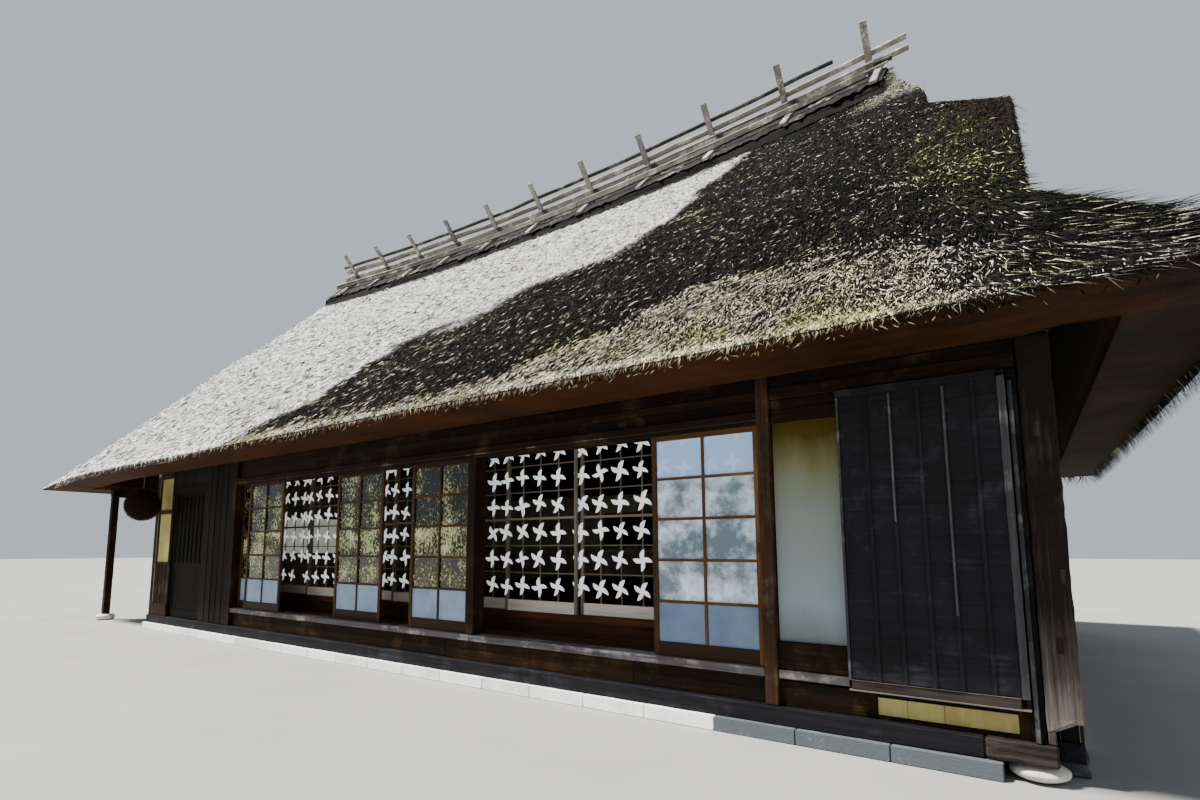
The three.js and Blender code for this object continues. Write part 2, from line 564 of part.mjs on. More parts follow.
// Entrance door: one boarded leaf that slides behind the boarded wall
const ENTRY_LOW = BEAM_TOP + 5;
piece("entry_door", "dark_wood", block(ENTRY_X0 + 6, ENTRY_X1 + 40, ENTRY_FACE, ENTRY_FACE + ENTRY_THICK,
  ENTRY_LOW, 2224));

// Inner lattice panels on two tracks
const SKIRT_BOARD = 115;
const LATTICE = 12;
const LATTICE_STEP = 283; // from one level bar to the next
const LATTICE_ROWS = 5;
function latticePanel() {
  const wide = INNER_WIDTH - 6;
  const frame = 33;
  const parts = [
    block(0, frame, 0, INNER_THICK, 0, INNER_HEIGHT),
    block(wide - frame, wide, 0, INNER_THICK, 0, INNER_HEIGHT),
    block(frame - 1, wide - frame + 1, 0, INNER_THICK, INNER_HEIGHT - 40, INNER_HEIGHT),
    block(frame - 1, wide - frame + 1, 4, INNER_THICK - 4, 0, SKIRT_BOARD),
  ];
  for (let i = 1; i <= LATTICE_ROWS; i++) {
    const h = i === 3 ? 2 * LATTICE : LATTICE;
    const z = SKIRT_BOARD + i * LATTICE_STEP;
    parts.push(block(frame - 1, wide - frame + 1, 7, 21, z - half(h), z + half(h)));
  }
  for (let i = 1; i < 4; i++) {
    const x = (wide * i) / 4;
    parts.push(block(x - half(LATTICE), x + half(LATTICE), 7, 21, SKIRT_BOARD - 1, INNER_HEIGHT - 39));
  }
  return geometryOf(union(parts));
}
for (let i = 0; i < 8; i++) {
  const mesh = piece("lattice_panel_" + (i + 1), "weathered_wood", latticePanel());
  mesh.position.set(INNER_X0 + i * INNER_WIDTH + 3, INNER_FACE + (i % 2 ? 0 : 1) * TRACK_PITCH, INNER_BOTTOM);
}

export default house;
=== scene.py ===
"""The looks of the minka farmhouse: straw roof, ridge, walls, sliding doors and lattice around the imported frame."""
import math

import bmesh
import bpy
import numpy as np
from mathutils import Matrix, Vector, noise
from mathutils.bvhtree import BVHTree


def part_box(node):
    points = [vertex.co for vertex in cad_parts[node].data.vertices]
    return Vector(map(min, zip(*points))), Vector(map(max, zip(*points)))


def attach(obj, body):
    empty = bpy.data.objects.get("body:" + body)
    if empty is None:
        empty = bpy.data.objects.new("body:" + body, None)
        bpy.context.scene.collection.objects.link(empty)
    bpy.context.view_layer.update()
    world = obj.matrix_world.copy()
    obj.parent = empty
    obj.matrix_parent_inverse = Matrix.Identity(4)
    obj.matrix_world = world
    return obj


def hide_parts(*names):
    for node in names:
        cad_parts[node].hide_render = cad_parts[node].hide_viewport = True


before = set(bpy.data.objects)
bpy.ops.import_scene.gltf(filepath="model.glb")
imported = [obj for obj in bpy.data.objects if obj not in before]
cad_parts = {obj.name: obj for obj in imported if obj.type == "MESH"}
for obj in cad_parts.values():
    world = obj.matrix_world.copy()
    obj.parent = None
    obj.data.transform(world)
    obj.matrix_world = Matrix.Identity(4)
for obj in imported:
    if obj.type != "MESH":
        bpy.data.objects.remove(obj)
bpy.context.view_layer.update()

HOUSE = "house"
X, Y, Z = 0, 1, 2
ROOT_HALF = math.sqrt(0.5)


def dice(name):
    """A random generator of its own for each piece, the same in each run."""
    return np.random.default_rng(sum((i + 1) * ord(c) for i, c in enumerate(name)))


def linked(name, data):
    """A new object in the scene."""
    thing = bpy.data.objects.new(name, data)
    bpy.context.scene.collection.objects.link(thing)
    return thing


def tint(*screen):
    """A colour given as a screen shows it, from 0 to 255, as linear light."""
    shares = [c / 255 for c in screen]
    return (*(c / 12.92 if c <= 0.04045 else ((c + 0.055) / 1.055) ** 2.4 for c in shares), 1.0)


# Camera at the photograph's place and angle
CAMERA_AT = (6.76, -8.575, 1.30)
camera = linked("camera", bpy.data.cameras.new("camera"))
camera.location = CAMERA_AT
camera.rotation_euler = (math.radians(96.81), 0.0, math.radians(35.69))
camera.data.lens = 18.69
camera.data.sensor_width = 36
camera.data.shift_x = 0.02225
camera.data.shift_y = 0.0618
camera.data.clip_end = 200
bpy.context.scene.camera = camera

# Light: a soft sun from the front left and a pale sky
SUN_FROM = Vector((-0.40, -0.345, 0.85))
sun = linked("sun", bpy.data.lights.new("sun", "SUN"))
sun.rotation_euler = SUN_FROM.to_track_quat("Z", "Y").to_euler()
sun.data.energy = 16.0
sun.data.angle = math.radians(6)
sun.data.color = (1.0, 0.97, 0.92)
world = bpy.data.worlds.new("pale sky")
world.use_nodes = True
sky = world.node_tree.nodes["Background"].inputs
sky["Color"].default_value = (0.84, 0.91, 1.0, 1.0)
sky["Strength"].default_value = 0.66
bpy.context.scene.world = world


class Paint:
    """The node graph of one material."""

    def __init__(self, name, roughness=0.8, gloss=0.12, **sockets):
        self.material = bpy.data.materials.new(name)
        self.material.use_nodes = True
        self.tree = self.material.node_tree
        self.inputs = self.tree.nodes["Principled BSDF"].inputs
        sockets = {"Roughness": roughness, "Specular_IOR_Level": gloss, **sockets}
        for key, value in sockets.items():
            self.inputs[key.replace("_", " ")].default_value = value

    def add(self, kind, inputs, **settings):
        node = self.tree.nodes.new("ShaderNode" + kind)
        for key, value in settings.items():
            setattr(node, key, value)
        for key, value in inputs.items():
            if isinstance(value, bpy.types.NodeSocket):
                self.tree.links.new(value, node.inputs[key])
            else:
                node.inputs[key].default_value = value
        return node

    def where(self, stretch=(1, 1, 1)):
        """The place on the house, drawn out by other scales along its axes."""
        place = self.add("TexCoord", {}).outputs["Object"]
        return self.add("Mapping", {"Vector": place, "Scale": stretch}).outputs[0]

    def along(self, axis):
        return self.add("SeparateXYZ", {0: self.where()}).outputs[axis]

    def cloud(self, scale=1.0, detail=4.0, roughness=0.6, stretch=(1, 1, 1)):
        inputs = {"Vector": self.where(stretch), "Scale": scale, "Detail": detail, "Roughness": roughness}
        return self.add("TexNoise", inputs).outputs["Fac"]

    def value(self, name):
        return self.add("Attribute", {}, attribute_name=name).outputs["Fac"]

    def sum(self, *terms):
        """Each term is a socket and its share; the last may be a plain number."""
        total = 0.0
        for term in terms:
            if isinstance(term, tuple):
                inputs = {0: term[0], 1: term[1], 2: total}
                total = self.add("Math", inputs, operation="MULTIPLY_ADD").outputs[0]
            else:
                total = self.add("Math", {0: total, 1: term}, operation="ADD").outputs[0]
        return total

    def ramp(self, value, *stops):
        node = self.add("ValToRGB", {"Fac": value})
        elements = node.color_ramp.elements
        while len(elements) < len(stops):
            elements.new(0.5)
        for element, (at, colour) in zip(elements, stops):
            element.position = at
            element.color = tint(*colour)
        return node.outputs["Color"]

    def level(self, value, low, high, to_low=0.0, to_high=1.0):
        inputs = {"Value": value, "From Min": low, "From Max": high, "To Min": to_low, "To Max": to_high}
        return self.add("MapRange", inputs).outputs["Result"]

    def mix(self, share, first, second):
        return self.add("Mix", {0: share, 6: first, 7: second}, data_type="RGBA").outputs[2]

    def relief(self, height, strength=0.4, distance=0.01):
        inputs = {"Height": height, "Strength": strength, "Distance": distance}
        self.tree.links.new(self.add("Bump", inputs).outputs["Normal"], self.inputs["Normal"])

    def finish(self, colour):
        self.tree.links.new(colour, self.inputs["Base Color"])
        return self.material


def wood(name, dark, light, axis, grain=42.0, roughness=0.75, relief=0.4, worn=None):
    """Timber with its grain along one axis; boards differ by their tone, and worn patches go grey."""
    p = Paint(name, roughness)
    stretch = [grain] * 3
    stretch[axis] = 1.7
    fine = p.cloud(1.0, 5.0, 0.65, stretch)
    value = p.sum((fine, 0.75), (p.cloud(1.9, 3.0), 0.35), (p.value("tone"), 0.34), -0.30)
    middle = tuple((a + b) / 2 * 0.92 for a, b in zip(dark, light))
    colour = p.ramp(value, (0.18, dark), (0.50, middle), (0.82, light))
    if worn:
        patches = p.level(p.cloud(3.1, 4.0, 0.7), 0.52, 0.66)
        colour = p.mix(patches, colour, p.ramp(fine, (0.3, dark), (0.6, worn)))
    p.relief(fine, relief, 0.004)
    return p.finish(colour)


def wood_set(name, *args, **kwargs):
    """The same timber with its grain along X, Y and Z."""
    return [wood(name + "_" + letter, *args, axis=axis, **kwargs) for axis, letter in enumerate("xyz")]


def plaster(name, light, stain):
    p = Paint(name, 0.92)
    broad = p.cloud(1.3, 5.0, 0.62)
    value = p.sum((broad, 0.9), (p.cloud(1.0, 3.0, stretch=(9, 9, 1.1)), 0.5), -0.28)
    p.relief(p.sum((p.cloud(90.0, 3.0), 0.3), (broad, 1.0)), 0.25, 0.006)
    return p.finish(p.ramp(value, (0.25, stain), (0.62, light), (1.0, light)))


def stone(name, dark, light, grain=26.0):
    p = Paint(name, 0.88)
    broad, specks, pits = p.cloud(3.2, 5.0, 0.65), p.cloud(grain * 6, 2.0), p.cloud(grain, 4.0, 0.7)
    value = p.sum((broad, 0.6), (pits, 0.35), (specks, 0.25), (p.value("tone"), 0.3), -0.25)
    p.relief(p.sum((pits, 0.8), (specks, 0.25)), 0.5, 0.008)
    return p.finish(p.ramp(value, (0.2, dark), (0.75, light)))


def thatch(name, across):
    """Straw laid down the slope: pale where dry, dark where damp and in painted tree shade, with painted patches of
    sunlight, green moss, and brown cut ends darkened by painted shade.
    """
    p = Paint(name, 0.9)
    stretch = [13.0] * 3
    stretch[across] = 62.0
    tuft, speck = p.cloud(1.0, 4.0, 0.7, stretch), p.cloud(27.0, 4.0, 0.8)
    value = p.sum((tuft, 0.5), (speck, 0.45), (p.value("tone"), 0.75), -0.36)
    dry, wet_and_shaded, green, brown_in_shade = (p.ramp(value, *stops) for stops in (
        ((0.04, (40, 38, 35)), (0.32, (180, 177, 172)), (0.50, (250, 250, 249)), (0.9, (255, 255, 255))),
        ((0.25, (4, 4, 3)), (0.48, (17, 16, 12)), (0.70, (104, 97, 78)), (0.89, (252, 246, 224))),
        ((0.2, (8, 10, 4)), (0.45, (38, 42, 16)), (0.68, (140, 140, 84)), (0.90, (246, 242, 186))),
        ((0.3, (14, 8, 3)), (0.9, (96, 66, 36)))))
    colour = dry
    for key, other in (("damp", wet_and_shaded), ("moss", green), ("cut", brown_in_shade)):
        colour = p.mix(p.value(key), colour, other)
    p.relief(p.sum((tuft, 1.0), (speck, 0.5)), 0.8, 0.03)
    return p.finish(colour)


def cut_straw(name, dark, light):
    """The smooth cut ends of the straw under the eaves."""
    p = Paint(name, 0.88)
    fine, rows, broad = p.cloud(120.0, 2.0), p.cloud(1.0, 4.0, 0.7, (2.5, 9, 9)), p.cloud(1.1, 3.0)
    shaded = p.level(p.along(X), 5.2, 7.0)
    value = p.sum((fine, 0.35), (rows, 0.5), (broad, 0.55), (shaded, -0.17), -0.20)
    p.relief(p.sum((fine, 1.0), (rows, 0.6)), 0.6, 0.01)
    return p.finish(p.ramp(value, (0.25, dark), (0.8, light)))


def bark(name):
    p = Paint(name, 0.85)
    ridges = p.cloud(1.0, 5.0, 0.75, (9, 34, 34))
    value = p.sum((ridges, 0.7), (p.cloud(7.0, 4.0), 0.6), (p.value("tone"), 0.3), -0.39)
    p.relief(ridges, 0.7, 0.01)
    return p.finish(p.ramp(value, (0.42, (12, 9, 7)), (0.60, (46, 40, 34)), (0.68, (150, 142, 128)),
                           (0.84, (222, 216, 204))))


def old_pane(name, through):
    """A wavy pane."""
    p = Paint(name, 0.03, 0.5, Transmission_Weight=through, IOR=1.52)
    p.relief(p.cloud(1.4, 1.0), 0.06, 0.02)
    return p


def sky_reflection_glass():
    """Panes with a painted reflection of the sky: hazy, clear blue in the top row, and a faint painted glow."""
    p = old_pane("sky_reflection_glass", 0.44)
    colour = p.ramp(p.cloud(3.4, 4.0, 0.7), (0.42, (120, 138, 152)), (0.61, (224, 238, 252)))
    colour = p.mix(p.level(p.along(Z), 1.83, 1.86), colour, tint(190, 222, 255))
    p.tree.links.new(colour, p.inputs["Emission Color"])
    p.inputs["Emission Strength"].default_value = 0.15
    return p.finish(colour)


def leaf_reflection_glass():
    """Panes with a painted reflection of leaves: small light specks on dark, yellow in the middle row."""
    p = old_pane("leaf_reflection_glass", 0.40)
    specks, patches = p.cloud(1.0, 3.0, 0.75, (34, 34, 30)), p.cloud(4.5, 3.0, 0.6)
    row = p.level(p.along(Z), 1.50, 1.56, 0.065, 0.0)
    low_row = p.level(p.along(Z), 1.18, 1.24, -0.06, 0.0)
    value = p.sum((specks, 0.8), (patches, 0.5), (row, 1.0), (low_row, 1.0), -0.125)
    return p.finish(p.ramp(value, (0.51, (2, 3, 1)), (0.56, (74, 76, 28)), (0.62, (200, 202, 124)),
                           (0.70, (244, 244, 214))))


def frosted_glass(name, dark, light):
    p = Paint(name, 0.45, 0.4, Transmission_Weight=0.35, IOR=1.5)
    p.relief(p.cloud(160.0, 2.0), 0.3, 0.002)
    return p.finish(p.ramp(p.cloud(6.0), (0.3, dark), (0.7, light)))


def paper(name, colour, shade, painted_glow):
    """Thin white paper that glows: painted light, with no lamp behind it."""
    p = Paint(name, 0.9, Emission_Color=tint(*colour), Emission_Strength=painted_glow)
    fibres = p.cloud(40.0, 5.0, 0.7)
    p.relief(fibres, 0.15, 0.002)
    return p.finish(p.ramp(p.sum((fibres, 0.7), (p.value("tone"), 0.4)), (0.2, shade), (0.6, colour)))


def shaded_panel():
    """White panel in painted shade and light: bluish low down, then yellow and brown towards the eave."""
    p = Paint("shaded_panel", 0.85)
    stain = p.cloud(1.0, stretch=(3, 3, 0.8))
    value = p.sum((p.level(p.along(Z), 0.6, 2.25), 0.85), (stain, 0.22), -0.08)
    p.relief(p.cloud(60.0, 3.0), 0.1, 0.003)
    return p.finish(p.ramp(value, (0.05, (100, 109, 110)), (0.18, (138, 152, 157)), (0.50, (131, 139, 134)),
                           (0.63, (121, 127, 106)), (0.70, (106, 105, 68)), (0.79, (70, 60, 12)),
                           (0.95, (42, 33, 9))))


def bay_plaster(end):
    """Cream plaster, with painted shade darkening the reveal beside the entrance."""
    p = Paint("bay_plaster", 0.92)
    cream = p.ramp(p.cloud(1.3, 5.0, 0.62), (0.3, (146, 134, 80)), (0.6, (196, 186, 122)))
    p.relief(p.cloud(90.0, 3.0), 0.2, 0.004)
    return p.finish(p.mix(p.level(p.along(X), end - 0.014, end - 0.010), cream, tint(24, 18, 8)))


DOOR_WOOD = wood_set("door_wood", (42, 27, 12), (164, 110, 56), grain=60.0, roughness=0.5, relief=0.2)
OLD_WOOD = wood_set("old_wood", (24, 15, 9), (76, 52, 34), worn=(92, 76, 60))
BLACK_WOOD = wood_set("black_wood", (7, 6, 8), (30, 28, 34), worn=(42, 40, 46))
SMOKED_WOOD = wood_set("smoked_wood", (13, 6, 1), (58, 35, 12), worn=(64, 46, 24))
ENTRY_WOOD = wood_set("entry_wood", (5, 4, 3), (34, 28, 22))
SHUTTER_WOOD = wood_set("shutter_wood", (18, 17, 20), (50, 48, 54), worn=(54, 52, 58))
GREY_WOOD = wood_set("grey_wood", (84, 78, 72), (206, 200, 188), relief=0.7, worn=(224, 218, 206))
POST_WOOD = wood_set("post_wood", (26, 20, 18), (132, 120, 116), relief=0.9)
STRIP_WOOD = wood_set("strip_wood", (40, 42, 45), (112, 112, 116), worn=(128, 126, 128))
SHADED_PLANK_WOOD = wood_set("shaded_plank_wood", (26, 27, 22), (96, 96, 84), worn=(128, 126, 114))
TRACK_WOOD = wood_set("track_wood", (46, 40, 42), (134, 128, 130), relief=0.6, worn=(150, 144, 144))
LATTICE_WOOD = wood_set("lattice_wood", (92, 84, 74), (178, 166, 148), grain=80.0)
FLOOR_WOOD = wood_set("floor_wood", (46, 28, 18), (120, 80, 52), roughness=0.5, relief=0.25)
SILL_WOOD = wood_set("sill_wood", (50, 28, 16), (130, 84, 52), relief=0.3)
SKIRT_WOOD = wood_set("skirt_wood", (150, 136, 124), (236, 224, 212), relief=0.3)
CREAM = plaster("cream_plaster", (196, 186, 122), (146, 134, 80))
WALL = plaster("wall_plaster", (216, 208, 184), (160, 146, 118))
KERB = stone("kerb_stone", (74, 80, 84), (226, 228, 226))
BOULDER = stone("boulder", (176, 172, 164), (252, 250, 246), 12.0)
THATCH_LONG = thatch("thatch_long", X)
THATCH_END = thatch("thatch_end", Y)
EAVE_CUT = cut_straw("eave_cut", (13, 6, 0), (76, 40, 2))
SOFFIT = cut_straw("soffit_straw", (5, 2, 1), (24, 10, 3))
BARK = bark("ridge_bark")
SKY_REFLECTION_GLASS = sky_reflection_glass()
LEAF_REFLECTION_GLASS = leaf_reflection_glass()
FROSTED = frosted_glass("frosted_glass", (112, 134, 170), (138, 160, 194))
FROSTED_PALE = frosted_glass("frosted_pale", (140, 166, 202), (176, 198, 226))
PINWHEEL_PAPER = paper("pinwheel_paper", (246, 248, 252), (208, 214, 226), 0.62)
SCREEN_PAPER = paper("screen_paper", (236, 236, 228), (208, 204, 186), 0.30)


# Meshes and pieces
def corners(node):
    """The low and high corner of a node, as arrays."""
    lo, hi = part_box(node)
    return np.array(lo), np.array(hi)


def dress(node, material):
    """Another material on a node of the frame."""
    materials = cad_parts[node].data.materials
    materials.clear()
    materials.append(material)


def set_values(mesh, **values):
    """Float values on the points of a mesh, for its material to read."""
    for key, value in values.items():
        each = np.broadcast_to(value, len(mesh.vertices)).astype(np.float32)
        mesh.attributes.new(key, "FLOAT", "POINT").data.foreach_set("value", each)


def as_mesh(bm, name, rounded=False):
    mesh = bpy.data.meshes.new(name)
    bm.to_mesh(mesh)
    bm.free()
    if rounded:
        mesh.polygons.foreach_set("use_smooth", [True] * len(mesh.polygons))
    return mesh


def placed(mesh, name, body, slot, materials, replaces=()):
    """A mesh as a piece of the house, on its body; slot is not used."""
    for material in materials:
        mesh.materials.append(material)
    mesh.update()
    piece = linked(name, mesh)
    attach(piece, body)
    if replaces:
        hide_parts(*replaces)


class Pile:
    """Closed forms gathered into one mesh, each with a tone and a material of its own."""

    def __init__(self, *materials):
        self.materials = materials
        self.points, self.faces, self.tones, self.slots = [], [], [], []
        self.count = 0

    def add(self, points, faces, tone=0.5, slot=0):
        points = np.asarray(points, float)
        self.points.append(points)
        self.faces += [[self.count + i for i in face] for face in faces]
        self.tones.append(np.full(len(points), tone))
        self.slots += [slot if len(self.materials) > 1 else 0] * len(faces)
        self.count += len(points)
        return points

    def piece(self, name, slot, replaces=(), body=HOUSE):
        mesh = bpy.data.meshes.new(name)
        mesh.from_pydata(np.concatenate(self.points).tolist(), [], self.faces)
        mesh.polygons.foreach_set("material_index", self.slots)
        set_values(mesh, tone=np.concatenate(self.tones))
        placed(mesh, name, body, slot, self.materials, replaces)


RING = 8    # points around a bar or a pole


def tube_faces(rings):
    """Faces of a closed form made of rings of RING points, each facing out."""
    faces = []
    for i in range(rings - 1):
        for k in range(RING):
            a, b = i * RING + k, i * RING + (k + 1) % RING
            faces.append((a, b, b + RING, a + RING))
    faces.append(tuple(reversed(range(RING))))
    faces.append(tuple(range((rings - 1) * RING, rings * RING)))
    return faces


def bar(pile, lo, hi, edge=0.003, parts=1, rough=0.0, tone=None, slot=None, seed=0):
    """A board or post with worn edges, hewn in several parts along its longest side."""
    lo, hi = np.minimum(lo, hi), np.maximum(lo, hi)
    size, middle = hi - lo, (lo + hi) / 2
    along = int(np.argmax(size))
    u, v = (along + 1) % 3, (along + 2) % 3
    w, h = size[u] / 2, size[v] / 2
    e = min(edge, 0.8 * min(w, h), 0.2 * size[along])
    c = 0.5 * e
    stations = [lo[along], *np.linspace(lo[along] + e, hi[along] - e, parts + 1), hi[along]]
    draw = np.random.default_rng(int(abs(lo.sum() * 971 + hi.sum() * 389) * 1000) % 100000 + seed)
    points = []
    for i, at in enumerate(stations):
        a, b = (w - e, h - e) if i in (0, len(stations) - 1) else (w, h)
        for p, q in ((-a + c, -b), (a - c, -b), (a, -b + c), (a, b - c),
                     (a - c, b), (-a + c, b), (-a, b - c), (-a, -b + c)):
            shrink = 1 - draw.random(2) * rough / np.array([w, h]) if rough else (1, 1)
            point = np.zeros(3)
            point[[along, u, v]] = at, middle[u] + p * shrink[0], middle[v] + q * shrink[1]
            points.append(point)
    tone = draw.random() if tone is None else tone
    return pile.add(points, tube_faces(len(stations)), tone, along if slot is None else slot)


def timber(name, kind, rows, slot="dark_wood", replaces=(), body=HOUSE):
    """A piece made of bars; each row is what bar takes, from its corners on."""
    pile = Pile(*kind)
    for row in rows:
        bar(pile, *row)
    pile.piece(name, slot, replaces, body)


def hewn(node, kind, *more):
    """A post or plate of the frame, hewn."""
    timber("hewn_" + node, kind, [(*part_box(node), *more)], replaces=(node,))


SEAT = 0.0005   # between a wall and what is laid on it


def on_wall(pile, axis, face, sign):
    """A function that lays bars on a wall: from and to along it, low and high, and how far they stand out."""
    def lay(start, end, low, high, out, *more, under=SEAT, **named):
        lo, hi = [0, 0, low], [0, 0, high]
        lo[axis], hi[axis] = start, end
        lo[1 - axis], hi[1 - axis] = face + sign * under, face + sign * out
        bar(pile, lo, hi, *more, **named)
    return lay


def front_boards(name, kind, face, rows, slot="dark_wood"):
    """A piece laid on the front wall; each row is what on_wall's function takes."""
    pile = Pile(*kind)
    lay = on_wall(pile, X, face, -1)
    for row in rows:
        lay(*row)
    pile.piece(name, slot)


def spans(start, end, count, gap=0.001):
    """A stretch divided into boards with gaps between them."""
    cuts = np.linspace(start, end, count + 1)
    return [(a + gap, b - gap) for a, b in zip(cuts, cuts[1:])]


# A spike's roots get painted shade, where the straws overlap; its tip is paler.
ROOT_SHADE = (-0.36, -0.36, -0.20, 0.30)      # the tone of a spike's three root points and its tip
SPIKE = (0, 1, 3, 1, 2, 3, 2, 0, 3, 0, 2, 1)    # its four faces


def spikes(name, roots, along, out, length, width, material, slot, limits, **values):
    """Many thin closed spikes as one piece; values are the float attributes of each, with painted shade at the root.
    """
    count = len(roots)
    side = np.cross(along, out)
    side /= np.linalg.norm(side, axis=1)[:, None]
    w = width[:, None]
    points = np.stack([roots - side * w, roots + side * w, roots + out * w * 1.2,
                       roots + along * length[:, None]], axis=1).reshape(-1, 3)
    points = np.clip(points, *limits)
    faces = (np.arange(count)[:, None] * 4 + np.array(SPIKE)).reshape(-1, 3)
    mesh = bpy.data.meshes.new(name)
    mesh.vertices.add(len(points))
    mesh.vertices.foreach_set("co", points.astype(np.float32).ravel())
    mesh.loops.add(faces.size)
    mesh.loops.foreach_set("vertex_index", faces.ravel().astype(np.int32))
    mesh.polygons.add(len(faces))
    mesh.polygons.foreach_set("loop_start", np.arange(0, faces.size, 3, dtype=np.int32))
    mesh.update(calc_edges=True)
    values = {key: np.repeat(value, 4) for key, value in values.items()}
    values["tone"] += np.tile(ROOT_SHADE, count)
    set_values(mesh, **values)
    placed(mesh, name, HOUSE, slot, [material])


def ball(name, subdivisions, shape, rounded=True):
    """A mesh whose points are those of a ball, moved by shape."""
    bm = bmesh.new()
    bmesh.ops.create_icosphere(bm, subdivisions=subdivisions, radius=1.0)
    for vert in bm.verts:
        vert.co = shape(vert.co)
    return as_mesh(bm, name, rounded)


# Roof: the frame's own shape, drawn in a little, under a coat of straw
ROOF_LO, ROOF_HI = corners("roof_thatch")
EAVE_X, EAVE_Y, RIDGE_Z = ROOF_HI
EAVE_Z = 2.518
CUT_Z = 2.466
VERGE_X = 6.94
SKIRT_SLOPE = 1.12
SKIRT_TOP_Z = 3.526
HIP_CORNER_Z = 5.22
RIDGE_X = EAVE_X - 2 * EAVE_X / 9
RIDGE_RIGHT = RIDGE_X - 0.358
WALL_LEFT = -5.14
SAG = 0.29
DROOP = 0.15
INSET = 0.024
CLEAR = 0.002
LIMITS = (ROOF_LO + CLEAR, ROOF_HI - CLEAR)
HOOD_HEIGHTS = (HIP_CORNER_Z, 5.89, 6.42, RIDGE_Z)
HOOD_RIGHT = (VERGE_X, 6.25, 6.20, RIDGE_RIGHT)
HOOD_LEFT = (VERGE_X, 6.25, 6.20, RIDGE_X)
EDGE_FADE = 0.2     # how near an eave the coat gets thin
MOST_STRAWS = 36500

# The upper edge of the dark zone on the front, damp straw in painted tree shade, and of the paler foot in it, lit by
# painted sunlight: places along X, and their Y
SHADE_EDGE_X = (-2.2, -1.56, -0.92, -0.31, 0.16, 0.78, 1.92, 3.24, 3.6, 3.8, 4.0, 4.2, 5.8)
SHADE_EDGE_Y = (-5.3, -5.03, -4.86, -4.46, -3.67, -3.22, -3.05, -2.70, -2.2, -1.5, -0.9, -0.2, 0.3)
SUNLIT_FOOT_X = (-1.0, 0.0, 1.0, 2.5, 3.72, 4.55, 5.24, 6.0, 7.0)
SUNLIT_FOOT_Y = (-4.95, -4.8, -4.7, -4.6, -4.45, -4.05, -4.0, -4.05, -4.3)

roof_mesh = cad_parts["roof_thatch"].data
roof_tree = BVHTree.FromPolygons([v.co for v in roof_mesh.vertices], [f.vertices for f in roof_mesh.polygons])


def settle(x, z):
    """How far the old roof has sunk at a place."""
    up = np.clip((z - EAVE_Z) / (RIDGE_Z - EAVE_Z), 0, 1)
    middle = np.maximum(1 - (x / RIDGE_X) ** 2, 0)
    out = np.maximum((WALL_LEFT - x) / (WALL_LEFT + EAVE_X), 0)
    return SAG * middle * up + DROOP * out ** 2 * (1 - up)


def long_face(x, run):
    """Height of the front or back face, at a distance in from its eave."""
    z = EAVE_Z + run
    return z - settle(x, z)


def smooth(value, low, high):
    t = np.clip((value - low) / (high - low), 0, 1)
    return t * t * (3 - 2 * t)


def clouds(points, scale, shift=0.0):
    """Smooth noise at many places, from about -1 to 1."""
    return np.array([noise.noise(Vector(p) * scale + Vector((shift, shift, shift))) for p in points])


def edge_fade(points):
    edge = np.minimum(EAVE_Y - np.abs(points[:, Y]), EAVE_X - np.abs(points[:, X]))
    return np.clip(edge / EDGE_FADE, 0.1, 1)


